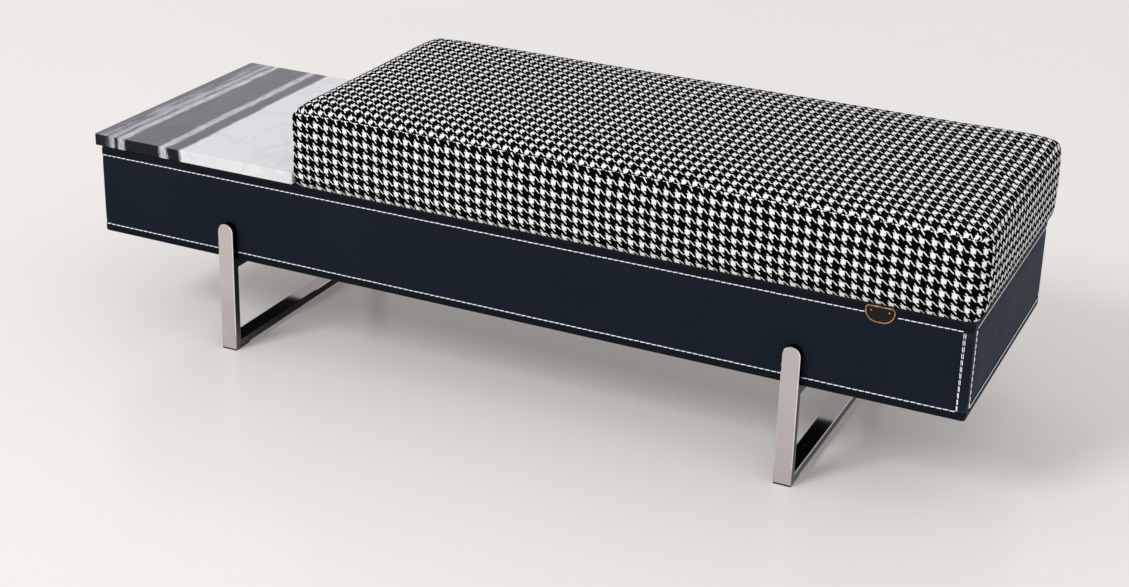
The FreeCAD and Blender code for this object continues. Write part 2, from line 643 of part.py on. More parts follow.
glides = []
for end, name in ((-1, "left"), (1, "right")):
    middle = signed(end, "places.leg_x")
    for side, face in ((-1, "front"), (1, "rear")):
        label = f"{name}_{face}_upright"
        body = doc.addObject("PartDesign::Body", f"{label}_blank")
        sketch = new_sketch(body, f"{label}_outline", "XZ_Plane", signed(-side, "places.half_depth"))
        arch(sketch, "places.bar_half", "sizes.glide_height", "places.bolt_z")
        bar = pad(body, f"{label}_bar", sketch, "sizes.bar_thickness", reverse=side > 0)
        chamfer = body.newObject("PartDesign::Chamfer", f"{label}_edge")
        chamfer.Base = (bar, edges_on(bar.Shape, "Y", side * value("places.bar_face")))
        chamfer.setExpression("Size", "sizes.bar_chamfer")
        move(body, (middle, "0", "0"))
        spot = (middle, signed(side, "places.half_depth"), "places.bolt_z")
        thread = rod(f"{label}_thread", "sizes.bolt_shank / 2 + sizes.fit",
                     "sizes.bolt_reach + sizes.fit", spot, outward[side])
        piece(cut(label, body, thread))
        reach = flip(side, "places.bar_face - sizes.glide_length", "places.bar_face - sizes.glide_inset")
        inside = (f"{middle} - places.bar_half + sizes.glide_inset",
                  f"{middle} + places.bar_half - sizes.glide_inset")
        glides.append(block(f"glide_{len(glides)}", inside, reach, ("0", "sizes.glide_height")))
    over_floor = "sizes.glide_height + sizes.bar_thickness"
    piece(chamfered_bar(f"{name}_floor_bar", middle, "sizes.glide_height", over_floor))
    blank = chamfered_bar(f"{name}_top_blank", middle, under_bar, "places.box_bottom")
    piece(cut(f"{name}_top_bar", blank, leg_tools))
piece(group("glide_pads", glides))
piece(group("leg_screws", leg_screws))
piece(group("leg_inserts", leg_inserts))
piece(group("upright_bolts", upright_bolts))
piece(group("upright_washers", upright_washers))

# Plate on the front: flat at the top and round below, with a raised rim, held by two rivets.


def plate_outline(sketch, inset):
    """Draw the plate, a distance inside its edge."""
    half, top = f"places.badge_half - {inset}", f"places.badge_top - {inset}"
    foot = f"places.badge_top - sizes.badge_height + {inset}"
    shoulder, belly = f"sizes.badge_shoulder - {inset}", f"sizes.badge_belly - {inset}"
    outline(sketch, [(f"-({half})", foot, belly), (half, foot, belly),
                     (half, top, shoulder), (f"-({half})", top, shoulder)])


rivets = []
rivet_holes = []
for offset in (-0.3, 0.3):
    tag = len(rivets)
    x = f"places.badge_x + sizes.badge_width * {offset}"
    z = "places.badge_top - sizes.badge_height * 0.3"
    at_leather = (x, "-places.half_depth", z)
    at_plate = (x, "-places.half_depth - sizes.badge_plate", z)
    stem = rod(f"rivet_stem_{tag}", "sizes.rivet / 4", "sizes.badge_plate", at_leather, "-Y")
    dome = rod(f"rivet_dome_{tag}", "sizes.rivet / 2", "sizes.rivet / 5", at_plate, "-Y")
    rivets.append(fuse(f"rivet_{tag}", stem, dome))
    rivet_holes.append(rod(f"rivet_hole_{tag}", "sizes.rivet / 4 + sizes.fit / 2",
                           "sizes.badge_plate", at_leather, "-Y"))

body = doc.addObject("PartDesign::Body", "badge_plate_blank")
sketch = new_sketch(body, "badge_plate_outline", "XZ_Plane", "places.half_depth")
plate_outline(sketch, "(sizes.badge_rim + sizes.fit / 2)")
pad(body, "badge_plate_thickness", sketch, "sizes.badge_plate")
move(body, ("places.badge_x", "0", "0"))
piece(cut("badge_plate", body, group("rivet_holes", rivet_holes)))

body = doc.addObject("PartDesign::Body", "badge_rim")
sketch = new_sketch(body, "badge_rim_outline", "XZ_Plane", "places.half_depth")
plate_outline(sketch, "0")
plate_outline(sketch, "sizes.badge_rim")
pad(body, "badge_rim_thickness", sketch, "sizes.badge_rim_height")
move(body, ("places.badge_x", "0", "0"))
piece(body)
piece(group("badge_rivets", rivets))

# Stone slab on its bumpers.

body = doc.addObject("PartDesign::Body", "stone_slab")
sketch = new_sketch(body, "stone_slab_outline", "XY_Plane", "places.slab_bottom")
rectangle(sketch, "sizes.slab_length / 2", "places.slab_y", "sizes.slab_round",
          "places.slab_left + sizes.slab_length / 2")
stone = pad(body, "stone_slab_thickness", sketch, "sizes.slab_thickness")
ease = body.newObject("PartDesign::Fillet", "stone_slab_ease")
low, high = value("places.slab_bottom"), value("places.slab_bottom + sizes.slab_thickness")
ease.Base = (stone, edges_on(stone.Shape, "Z", low) + edges_on(stone.Shape, "Z", high))
ease.setExpression("Radius", "sizes.slab_ease")
piece(body)

bumpers = []
bumper_inset = "sizes.top_lip / 2"
for part_way in (0.06, 0.5, 0.94):
    for side in (-1, 1):
        spot = (f"places.slab_left + sizes.slab_length * {part_way}",
                signed(side, f"places.half_depth - {bumper_inset}"), "places.box_top")
        bumpers.append(rod(f"bumper_{len(bumpers)}", "sizes.bumper / 2", "sizes.bumper_height", spot))
piece(group("slab_pads", bumpers))

# Cushion: a sewn cover over a board, a foam block and a soft topper.
# Its form is a stack of rounded rectangles. Each is given by a height above the
# bottom and by how far it lies inside the widest one.

height = value("sizes.cushion_height")
seam_height = height - value("sizes.seam_drop")
foot_draw, seam_draw = value("sizes.foot_draw"), value("sizes.seam_draw")
top_round, crown = value("sizes.top_round"), value("sizes.crown")
cover = value("sizes.cover")
shoulder = height - crown
half_depth = value("places.cushion_y")

cushion_form = [
    (0, foot_draw),
    (height * 0.05, foot_draw * 0.3),
    (height * 0.4, 0),
    (seam_height - value("sizes.seam_reach"), seam_draw * 0.3),
    (seam_height, seam_draw),
]
for angle in (20, 45, 70, 90):
    rise = math.sin(math.radians(angle))
    run = 1 - math.cos(math.radians(angle))
    cushion_form.append((seam_height + (shoulder - seam_height) * rise, seam_draw + top_round * run))
cushion_form += [(height - crown * 0.3, half_depth * 0.4), (height, half_depth * 0.75)]


def shrink(form, distance):
    """The same form, a distance inside all round."""
    smaller = []
    last = len(form) - 1
    for number, (z, inset) in enumerate(form):
        below, above = form[max(number - 1, 0)], form[min(number + 1, last)]
        rise, run = above[0] - below[0], above[1] - below[1]
        span = math.hypot(rise, run)
        smaller.append((z - distance * run / span, inset + distance * rise / span))
    smaller[0] = (distance, form[0][1] + distance)
    smaller[last] = (form[last][0] - distance, form[last][1])
    return smaller


def rounded_wire(z, inset):
    """One rounded rectangle of the cushion, with its sharper corners beside the slab."""
    x = value("places.cushion_half") - inset
    y = half_depth - inset
    bends = []
    for side_x, side_y in ((1, 1), (-1, 1), (-1, -1), (1, -1)):
        radius = value("sizes.cushion_corner" if side_x > 0 else "sizes.joint_corner")
        slant = radius * math.sqrt(0.5)
        centre = Vector(side_x * (x - radius), side_y * (y - radius), z)
        half_way = centre + Vector(side_x * slant, side_y * slant, 0)
        on_end = centre + Vector(side_x * radius, 0, 0)
        on_face = centre + Vector(0, side_y * radius, 0)
        bends.append((on_end, half_way, on_face) if side_x == side_y else (on_face, half_way, on_end))
    edges = []
    for before, bend in zip(bends[-1:] + bends[:-1], bends):
        edges.append(Part.LineSegment(before[2], bend[0]).toShape())
        edges.append(Part.Arc(*bend).toShape())
    return Part.Wire(edges)


def stack(form):
    """A solid through the rounded rectangles of a form."""
    return Part.makeLoft([rounded_wire(z, inset) for z, inset in form], True, True)


def slab_of_space(x, y, z):
    """A box of space that picks out part of the cushion."""
    return Part.makeBox(x[1] - x[0], y[1] - y[0], z[1] - z[0], Vector(x[0], y[0], z[0]))


def soft_piece(label, shape):
    """A freely made piece of the cushion, put in its place on the bench."""
    thing = doc.addObject("Part::Feature", label)
    thing.Shape = shape
    move(thing, ("places.cushion_x", "0", "places.cushion_bottom"))
    return piece(thing)


half_length = value("places.cushion_half")
turn_inset = value("places.turn_inset")
side_seam = half_length - value("sizes.cushion_corner")
far = half_length * 2
opening = slab_of_space((turn_inset - half_length, half_length - turn_inset),
                        (turn_inset - half_depth, half_depth - turn_inset), (-1, cover + 1))
sewn_cover = stack(cushion_form).cut(stack(shrink(cushion_form, cover))).cut(opening)
above_seam, below_seam = (seam_height, height + 1), (-1, seam_height)
soft_piece("cushion_top_panel", sewn_cover.common(slab_of_space((-far, far), (-far, far), above_seam)))
for label, x, y in (("cushion_front_band", (-side_seam, side_seam), (-far, 0)),
                    ("cushion_rear_band", (-side_seam, side_seam), (0, far)),
                    ("cushion_left_band", (-far, -side_seam), (-far, far)),
                    ("cushion_right_band", (side_seam, far), (-far, far))):
    soft_piece(label, sewn_cover.common(slab_of_space(x, y, below_seam)))

filling = stack(shrink(cushion_form, cover + value("sizes.soft_gap")))
foam_bottom = value("places.board_top - places.cushion_bottom")
foam_top = height - value("sizes.topper")
soft_piece("cushion_foam", filling.common(slab_of_space((-far, far), (-far, far), (foam_bottom, foam_top))))
soft_piece("cushion_topper", filling.common(slab_of_space((-far, far), (-far, far), (foam_top, height))))

body = doc.addObject("PartDesign::Body", "cushion_board")
sketch = new_sketch(body, "cushion_board_outline", "XY_Plane", "places.board_bottom")
rectangle(sketch, "places.cushion_half - places.board_inset", "places.cushion_y - places.board_inset",
          "sizes.cushion_corner", "places.cushion_x")
pad(body, "cushion_board_thickness", sketch, "sizes.seat_board")
piece(body)

cloth_x = "places.cushion_half - places.turn_inset - sizes.soft_gap"
cloth_y = "places.cushion_y - places.turn_inset - sizes.soft_gap"
piece(block("cushion_bottom_cloth", (f"places.cushion_x - ({cloth_x})", f"places.cushion_x + {cloth_x}"),
            (f"-({cloth_y})", cloth_y), ("places.cloth_bottom", "places.board_bottom")))

hooks = []
loops = []
for part_way in (-0.7, 0, 0.7):
    middle = f"places.cushion_x + places.cushion_half * {part_way}"
    stretch = (f"{middle} - sizes.strip_width / 2", f"{middle} + sizes.strip_width / 2")
    depth = ("-places.strip_y", "places.strip_y")
    hooks.append(block(f"hook_{len(hooks)}", stretch, depth,
                       ("places.lining_top", "places.loop_bottom - sizes.strip_gap")))
    loops.append(block(f"loop_{len(loops)}", stretch, depth, ("places.loop_bottom", "places.cloth_bottom")))
piece(group("deck_grip_strips", hooks))
piece(group("cushion_grip_strips", loops))

# Nothing is written unless every object came out whole.

doc.recompute()
for thing in doc.Objects:
    if "Invalid" in thing.State or "Error" in thing.State:
        raise RuntimeError(f"{thing.Label} did not come out: {thing.State}")
for thing in pieces:
    if thing.Shape.isNull() or not thing.Shape.isValid():
        raise RuntimeError(f"{thing.Label} has no sound shape")

os.makedirs("parts", exist_ok=True)
for thing in pieces:
    thing.Shape.exportStep(f"parts/{thing.Label}.step")
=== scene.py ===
import json
import math
import random

import bmesh
import bpy
from mathutils import Matrix, Vector, noise


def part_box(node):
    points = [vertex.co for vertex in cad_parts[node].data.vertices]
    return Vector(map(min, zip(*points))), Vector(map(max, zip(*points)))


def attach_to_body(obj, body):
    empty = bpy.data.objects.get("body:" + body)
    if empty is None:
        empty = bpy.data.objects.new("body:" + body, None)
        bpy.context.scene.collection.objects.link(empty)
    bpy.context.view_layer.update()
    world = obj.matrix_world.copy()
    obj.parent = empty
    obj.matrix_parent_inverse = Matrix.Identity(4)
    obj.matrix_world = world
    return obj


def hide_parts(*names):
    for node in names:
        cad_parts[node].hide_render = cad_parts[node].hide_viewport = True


# A bench in its finishes: a stitched leather box on polished legs, a banded stone slab
# at the left end and a houndstooth cushion over the rest.
# Metres. X runs along the bench, Y from front to back and Z up.

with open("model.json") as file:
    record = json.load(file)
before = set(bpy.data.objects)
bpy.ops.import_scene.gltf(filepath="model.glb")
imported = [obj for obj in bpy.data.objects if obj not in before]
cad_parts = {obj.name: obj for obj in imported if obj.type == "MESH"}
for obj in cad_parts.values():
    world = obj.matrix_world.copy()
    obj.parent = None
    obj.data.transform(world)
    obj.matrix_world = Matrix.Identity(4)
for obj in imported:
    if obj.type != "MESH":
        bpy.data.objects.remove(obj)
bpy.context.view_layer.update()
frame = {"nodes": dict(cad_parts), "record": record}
nodes = frame["nodes"]
scene = bpy.context.scene
MM = 0.001
cloth_repeat = 17.95 * MM
seam_low, seam_high = (corner.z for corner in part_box("leather_front_left"))

# Finishes


class Finish:
    """A procedural material, with the node shapes that the finishes share."""

    def __init__(self, name, constants):
        self.material = bpy.data.materials.new(name)
        self.material.use_nodes = True
        self.tree = self.material.node_tree
        self.surface = self.tree.nodes["Principled BSDF"]
        self.height = None
        for socket, amount in constants.items():
            self.surface.inputs[socket].default_value = amount

    def feed(self, socket, source):
        """Link a socket to another node's output, or set its value."""
        if isinstance(source, bpy.types.NodeSocket):
            self.tree.links.new(source, socket)
        else:
            socket.default_value = source

    def out(self, socket, source):
        """Drive one input of the surface."""
        self.feed(self.surface.inputs[socket], source)

    def node(self, kind, inputs=None, **settings):
        made = self.tree.nodes.new(f"ShaderNode{kind}")
        for setting, choice in settings.items():
            setattr(made, setting, choice)
        for socket, source in (inputs or {}).items():
            self.feed(made.inputs[socket], source)
        return made

    def maths(self, operation, first, second=0.0):
        return self.node("Math", {0: first, 1: second}, operation=operation).outputs[0]

    def times(self, first, second):
        return self.maths("MULTIPLY", first, second)

    def plus(self, first, second):
        return self.maths("ADD", first, second)

    def vectors(self, operation, first, second=(0, 0, 0)):
        return self.node("VectorMath", {0: first, 1: second}, operation=operation).outputs[0]

    def scaled(self, vector, share):
        """A vector times a number."""
        return self.node("VectorMath", {0: vector, "Scale": share}, operation="SCALE").outputs[0]

    def split(self, vector):
        """The three numbers of a vector."""
        return self.node("SeparateXYZ", {0: vector}).outputs

    def facing(self):
        """How far the surface faces along each axis of its object."""
        return self.split(self.node("TexCoord").outputs["Normal"])

    def place(self, stretch=(1, 1, 1)):
        """A point's place on its object, stretched."""
        source = self.node("TexCoord").outputs["Object"]
        return self.node("Mapping", {"Vector": source, "Scale": stretch}).outputs[0]

    def noise(self, vector, scale, detail=3.0, roughness=0.55):
        inputs = {"Vector": vector, "Scale": scale, "Detail": detail, "Roughness": roughness}
        return self.node("TexNoise", inputs).outputs[0]

    def drift(self, vector, scale, detail):
        """A vector that wanders from place to place, from nought to one on each axis."""
        return self.node("TexNoise", {"Vector": vector, "Scale": scale, "Detail": detail}).outputs[1]

    def cells(self, vector, scale):
        return self.node("TexVoronoi", {"Vector": vector, "Scale": scale}).outputs["Distance"]

    def within(self, source, low, high):
        """One where a value lies between two limits, and nought elsewhere."""
        above = self.maths("GREATER_THAN", source, low)
        return self.times(above, self.maths("LESS_THAN", source, high))

    def spread(self, source, low, high, first=0.0, last=1.0):
        """Carry a stretch of values over to another stretch."""
        inputs = {"Value": source, "From Min": low, "From Max": high, "To Min": first, "To Max": last}
        return self.node("MapRange", inputs).outputs[0]

    def ramp(self, source, stops, interpolation="LINEAR"):
        """Colours along a value. Each stop is a place and a colour."""
        made = self.node("ValToRGB", {"Fac": source})
        line = made.color_ramp
        line.interpolation = interpolation
        while len(line.elements) < len(stops):
            line.elements.new(1.0)
        for element, (place, colour) in zip(line.elements, stops):
            element.position = place
            element.color = (*colour, 1)
        return made.outputs[0]

    def mix(self, share, first, second):
        """One colour over another. Inputs 6 and 7 and output 2 are the node's colours."""
        made = self.node("Mix", {0: share}, data_type="RGBA")
        for number, colour in ((6, first), (7, second)):
            if not isinstance(colour, bpy.types.NodeSocket):
                colour = (*colour, 1)
            self.feed(made.inputs[number], colour)
        return made.outputs[2]

    def bump(self, height, depth, strength=1.0):
        """Raise the surface by a height, on top of any bump before."""
        inputs = {"Height": height, "Distance": depth, "Strength": strength}
        if self.height:
            inputs["Normal"] = self.height
        self.height = self.node("Bump", inputs).outputs[0]
        self.out("Normal", self.height)


def houndstooth_finish():
    """Black and white checks with slanting tails, woven of fine threads."""
    threads, twill_threads = 24, 4
    check = 0.41
    lower_tail, side_tail = (0.03, 0.33), (0.58, 0.83)
    ragged_scale, ragged_reach = 9.0, 0.08
    sway_scale, sway_reach = 0.45, 0.35
    finish = Finish("houndstooth", {"Roughness": 0.95, "Specular IOR Level": 0.01})
    cloth = finish.node("UVMap", uv_map="cloth").outputs[0]
    repeats = finish.node("Mapping", {"Vector": cloth, "Scale": [1 / cloth_repeat] * 3}).outputs[0]
    ragged = finish.vectors("SUBTRACT", finish.drift(repeats, ragged_scale, 2.0), (0.5, 0.5, 0.5))
    sway = finish.scaled(finish.drift(repeats, sway_scale, 1.0), sway_reach)
    swayed = finish.vectors("ADD", repeats, sway)
    moved = finish.vectors("ADD", swayed, finish.scaled(ragged, ragged_reach))
    counted = finish.scaled(moved, threads)
    whole = finish.vectors("FLOOR", counted)
    x, y, _ = finish.split(finish.scaled(whole, 1 / threads))
    warp = finish.maths("LESS_THAN", finish.maths("FRACT", x), check)
    weft = finish.maths("LESS_THAN", finish.maths("FRACT", y), check)
    slant = finish.maths("FRACT", finish.times(finish.plus(x, y), 2.0))
    both = finish.times(warp, weft)
    warp_only = finish.times(finish.maths("SUBTRACT", warp, both), finish.within(slant, *lower_tail))
    weft_only = finish.times(finish.maths("SUBTRACT", weft, both), finish.within(slant, *side_tail))
    white = finish.plus(finish.plus(both, warp_only), weft_only)
    soil = finish.noise(repeats, 3.0)
    pale = finish.ramp(soil, [(0.3, (0.88, 0.88, 0.89)), (0.7, (0.95, 0.95, 0.95))])
    dark = finish.ramp(soil, [(0.3, (0.001, 0.001, 0.001)), (0.7, (0.004, 0.004, 0.004))])
    finish.out("Base Color", finish.mix(white, dark, pale))
    warp_number, weft_number, _ = finish.split(whole)
    diagonal = finish.times(finish.plus(warp_number, weft_number), 1 / twill_threads)
    over = finish.maths("LESS_THAN", finish.maths("FRACT", diagonal), 0.5)
    under = finish.maths("SUBTRACT", 1.0, over)
    ridges = [finish.maths("ABSOLUTE", finish.maths("SINE", finish.times(line, math.pi)))
              for line in finish.split(counted)[:2]]
    weave = finish.plus(finish.times(ridges[0], over), finish.times(ridges[1], under))
    finish.bump(weave, 0.25 * MM, 0.8)
    finish.bump(white, 0.3 * MM, 0.5)
    return finish.material


def leather_finish():
    """Dark blue leather with a fine pebbled grain, painted darker on the borders as shade, and lighter on
    pointed edges, partly wear and partly painted highlight.
    """
    finish = Finish("navy_leather", {
        "Specular IOR Level": 0.010, "Sheen Weight": 0.10, "Sheen Roughness": 0.3,
        "Sheen Tint": (0.55, 0.68, 1.0, 1)})
    place = finish.place()
    pebbles = finish.cells(place, 620.0)
    creases = finish.noise(place, 140.0, 4.0)
    cloudy = finish.noise(place, 7.0, 2.0)
    shade = finish.plus(finish.times(cloudy, 0.6), finish.times(creases, 0.4))
    panel = finish.ramp(shade, [(0.25, (0.0085, 0.0124, 0.0202)), (0.75, (0.0110, 0.0160, 0.0256))])
    # Both borders are painted darker: painted shade under the cushion's overhang, carried to the bottom
    # border as well.
    painted_shade_borders = finish.ramp(shade, [(0.25, (0.0066, 0.0082, 0.0116)), (0.75, (0.0084, 0.0104, 0.0146))])
    height = finish.split(place)[2]
    upper = finish.spread(height, seam_high, seam_high + 1 * MM)
    lower = finish.spread(height, seam_low, seam_low - 1 * MM)
    tone = finish.mix(finish.maths("MAXIMUM", upper, lower), panel, painted_shade_borders)
    # Pointed edges are painted lighter: partly edge wear, partly a painted highlight on the folds.
    worn_and_highlit_edges = finish.spread(finish.node("NewGeometry").outputs["Pointiness"], 0.52, 0.62, 0.0, 0.5)
    finish.out("Base Color", finish.mix(worn_and_highlit_edges, tone, (0.05, 0.056, 0.068)))
    finish.out("Roughness", finish.spread(finish.noise(place, 30.0), 0.3, 0.7, 0.43, 0.49))
    finish.bump(creases, 0.25 * MM, 0.25)
    finish.bump(pebbles, 0.10 * MM, 0.4)
    return finish.material


def thread_finish():
    """Waxed pale thread with a twist."""
    finish = Finish("stitch_thread", {"Roughness": 0.6, "Sheen Weight": 0.1})
    place = finish.place()
    twist = finish.node("TexWave", {"Vector": place, "Scale": 420.0, "Distortion": 1.0},
                        wave_type="BANDS", bands_direction="DIAGONAL").outputs["Fac"]
    finish.out("Base Color", finish.ramp(twist, [(0.0, (0.83, 0.87, 0.93)), (0.7, (0.90, 0.94, 0.99))]))
    finish.bump(twist, 0.2 * MM, 0.6)
    return finish.material


def polished_finish():
    """Nickelled flat bar: bright faces, painted highlights on the upper chamfers, dimmer lower chamfers,
    painted dark reflections on the narrow edges, round tops and low bar tops, and fine polishing marks.
    """
    round_tops, above_bar = (170 * MM, 190 * MM), (20 * MM, 30 * MM)
    near_bar, to_upright = (60 * MM, 16 * MM), (130 * MM, 235 * MM)
    # Painted colours: a painted highlight for the upper chamfers, painted shade for the low bar tops and a
    # dimmer tone for the lower chamfers.
    painted_gleam, shade, dull = (0.95, 0.93, 0.92), (0.26, 0.245, 0.248), (0.50, 0.48, 0.48)
    finish = Finish("polished_nickel", {"Metallic": 1.0})
    place = finish.place()
    _, depth, height = finish.split(place)
    facing_x, facing_y, upward = finish.facing()
    sideways, forward = finish.maths("ABSOLUTE", facing_x), finish.maths("ABSOLUTE", facing_y)
    # Narrow edges and the sides of the round tops are painted nearly black: a painted dark reflection, not
    # a finish of their own.
    bend = finish.times(finish.spread(forward, 0.6, 0.3), finish.spread(height, *round_tops))
    edge = finish.maths("MAXIMUM", finish.spread(sideways, 0.86, 0.94), bend)
    # Chamfers above the floor bars get a painted highlight; the lower chamfers are painted a dimmer tone.
    slanting = finish.times(finish.spread(sideways, 0.3, 0.5), finish.spread(sideways, 0.9, 0.8))
    chamfer = finish.times(slanting, finish.spread(height, *above_bar))
    low_chamfer = finish.maths("SUBTRACT", slanting, chamfer)
    # Tops of the low bars near the floor are painted darker: a painted reflection of the box's dark
    # underside.
    low_top = finish.times(finish.spread(upward, 0.5, 0.9), finish.spread(height, *reversed(above_bar)))
    cloudy = finish.noise(place, 12.0, 2.0)
    bright = finish.ramp(cloudy, [(0.3, (0.557, 0.515, 0.52)), (0.7, (0.62, 0.572, 0.578))])
    # On the low bars the painted dark edges lighten towards the front uprights: a painted reflection.
    by_upright = finish.spread(finish.maths("ABSOLUTE", depth), *to_upright)
    near_floor = finish.times(finish.spread(height, *near_bar), by_upright)
    dark = finish.ramp(near_floor, [(0.0, (0.012, 0.011, 0.012)), (1.0, (0.12, 0.115, 0.118))])
    painted_gleam_faces = finish.mix(chamfer, bright, painted_gleam)
    faces = finish.mix(low_chamfer, finish.mix(low_top, painted_gleam_faces, shade), dull)
    finish.out("Base Color", finish.mix(edge, faces, dark))
    marks = finish.noise(finish.place((900.0, 900.0, 25.0)), 1.0, 2.0)
    finish.out("Roughness", finish.spread(finish.plus(marks, cloudy), 0.6, 1.4, 0.04, 0.09))
    finish.bump(marks, 0.004 * MM, 0.3)
    return finish.material


def stone_finish():
    """Polished stone: dark and pale bands that run from front to back, then white with grey veins, and a
    faint painted blue reflection on the top.
    """
    low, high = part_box("stone_slab")
    fan, pivot = 0.17, low.x + 105 * MM
    wander_reach, fray_reach = 8.5 * MM, 7 * MM
    black, grey = (0.011, 0.012, 0.014), (0.068, 0.07, 0.08)
    pale, white = (0.58, 0.58, 0.63), (0.76, 0.76, 0.775)
    fleck, smear, tear = (0.42, 0.42, 0.45), (0.13, 0.13, 0.15), (0.16, 0.16, 0.18)
    mist, line, painted_top_reflection = (0.58, 0.58, 0.61), (0.42, 0.42, 0.45), (0.05, 0.1, 0.7)
    finish = Finish("banded_stone", {"Specular Tint": (0.84, 0.87, 1.0, 1)})
    place = finish.place()
    x, y, _ = finish.split(place)
    upward = finish.facing()[2]
    on_top = finish.spread(upward, 0.5, 0.9)
    softened = finish.spread(upward, 0.5, 0.9, 0.03, 1.0)
    streaks = finish.noise(finish.place((190.0, 14.0, 20.0)), 1.0, 5.0, 0.65)
    hairs = finish.noise(finish.place((420.0, 30.0, 60.0)), 1.0, 4.0, 0.7)

    wander = finish.spread(finish.noise(place, 11.0, 5.0, 0.6), 0.0, 1.0, -wander_reach, wander_reach)
    fray = finish.spread(hairs, 0.0, 1.0, -fray_reach, fray_reach)
    spreading = finish.times(finish.maths("SUBTRACT", x, pivot), fan)
    leaning = finish.plus(x, finish.times(finish.maths("SUBTRACT", y, low.y), spreading))
    along = finish.plus(finish.plus(leaning, wander), fray)
    share = finish.spread(along, low.x, high.x)
    bands = finish.ramp(share, [
        (0.0, black), (0.054, black), (0.074, grey), (0.094, pale), (0.104, grey), (0.111, black),
        (0.117, black), (0.128, pale), (0.150, pale), (0.160, black), (0.333, black), (0.345, pale),
        (0.370, pale), (0.381, black), (0.437, black), (0.453, white)])

    end_band = finish.times(finish.spread(share, 0.02, 0.05), finish.spread(share, 0.128, 0.108))
    flecks = finish.times(finish.spread(streaks, 0.47, 0.56), finish.times(end_band, softened))
    flecked = finish.mix(finish.times(flecks, 0.85), bands, fleck)
    banded = finish.spread(share, 0.453, 0.44)
    smears = finish.times(finish.spread(streaks, 0.44, 0.6), finish.times(banded, softened))
    smeared = finish.mix(finish.times(smears, 0.3), flecked, smear)
    light = finish.spread(finish.node("RGBToBW", {0: bands}).outputs[0], 0.15, 0.4)
    torn = finish.times(finish.spread(hairs, 0.46, 0.6), finish.times(light, banded))
    dark_part = finish.mix(finish.times(torn, 0.75), smeared, tear)

    in_white = finish.spread(share, 0.451, 0.47)
    bent = finish.drift(finish.place((6.0, 3.0, 6.0)), 1.0, 4.0)
    flow = finish.vectors("ADD", finish.place((14.0, 6.0, 14.0)), bent)
    vein = finish.maths("ABSOLUTE", finish.maths("SUBTRACT", finish.noise(flow, 1.0, 6.0, 0.6), 0.5))
    veined = finish.times(finish.spread(vein, 0.045, 0.0), in_white)
    clouds = finish.times(finish.spread(finish.noise(flow, 0.5, 3.0), 0.35, 0.7), in_white)
    misty = finish.mix(finish.times(clouds, 0.3), dark_part, mist)
    stone = finish.mix(finish.times(veined, 0.2), misty, line)
    # Top faces get a faint painted blue reflection.
    finish.out("Base Color", finish.mix(finish.times(on_top, 0.035), stone, painted_top_reflection))
    finish.out("Specular IOR Level", finish.spread(upward, 0.5, 0.9, 0.07, 0.95))
    finish.out("Roughness", finish.spread(finish.noise(place, 60.0), 0.3, 0.7, 0.1, 0.17))
    return finish.material


def enamel_finish():
    """Deep brown enamel on the plate."""
    finish = Finish("badge_enamel", {"Specular IOR Level": 0.1})
    place = finish.place()
    dark, light = (0.006, 0.005, 0.005), (0.016, 0.012, 0.010)
    finish.out("Base Color", finish.ramp(finish.noise(place, 400.0), [(0.3, dark), (0.7, light)]))
    finish.out("Roughness", finish.spread(finish.noise(place, 900.0), 0.3, 0.7, 0.12, 0.2))
    return finish.material


def metal_finish(name, dull, bright, smooth, rough):
    """Bare metal with cloudy wear."""
    finish = Finish(name, {"Metallic": 1.0})
    place = finish.place()
    wear = finish.noise(place, 180.0, 4.0)
    finish.out("Base Color", finish.ramp(wear, [(0.3, dull), (0.7, bright)]))
    finish.out("Roughness", finish.spread(finish.noise(place, 700.0), 0.3, 0.7, smooth, rough))
    finish.bump(wear, 0.03 * MM, 0.4)
    return finish.material


def wood_finish(name, dark, light, grain):
    """Sawn wood. The grain says how fine its figure is along each axis: least along the fibres."""
    finish = Finish(name, {"Specular IOR Level": 0.3})
    place = finish.place(grain)
    lines = finish.noise(place, 1.0, 5.0, 0.6)
    growth = {"Vector": place, "Scale": 0.35, "Distortion": 6.0, "Detail": 3.0}
    rings = finish.node("TexWave", growth).outputs["Fac"]
    figure = finish.plus(finish.times(lines, 0.6), finish.times(rings, 0.4))
    finish.out("Base Color", finish.ramp(figure, [(0.25, dark), (0.75, light)]))
    finish.out("Roughness", finish.spread(lines, 0.3, 0.7, 0.6, 0.8))
    finish.bump(figure, 0.2 * MM, 0.5)
    return finish.material


def cloth_finish(name, dark, light, pitch):
    """Plain woven cloth or pile of one colour."""
    finish = Finish(name, {"Roughness": 0.95, "Specular IOR Level": 0.1})
    place = finish.place()
    waves = [finish.maths("SINE", finish.times(along, 2 * math.pi / pitch))
             for along in finish.split(place)[:2]]
    weave = finish.times(*waves)
    fuzz = finish.noise(place, 900.0, 3.0)
    shade = finish.plus(finish.times(weave, 0.2), fuzz)
    finish.out("Base Color", finish.ramp(shade, [(0.2, dark), (0.8, light)]))
    finish.bump(weave, 0.15 * MM, 0.6)
    finish.bump(fuzz, 0.2 * MM, 0.3)
    return finish.material


def foam_finish(name, dark, light):
    """Open foam with small cells."""
    finish = Finish(name, {"Roughness": 0.9, "Specular IOR Level": 0.2})
    place = finish.place()
    holes = finish.cells(place, 900.0)
    finish.out("Base Color", finish.ramp(finish.noise(place, 50.0), [(0.3, dark), (0.7, light)]))
    finish.bump(holes, 0.6 * MM, 0.6)
    return finish.material


def rubber_finish(name, dark, light):
    """Moulded rubber or plastic."""
    finish = Finish(name, {"Specular IOR Level": 0.35})
    place = finish.place()
    finish.out("Base Color", finish.ramp(finish.noise(place, 90.0), [(0.3, dark), (0.7, light)]))
    finish.out("Roughness", finish.spread(finish.noise(place, 300.0), 0.3, 0.7, 0.5, 0.7))
    finish.bump(finish.noise(place, 1500.0), 0.05 * MM, 0.4)
    return finish.material


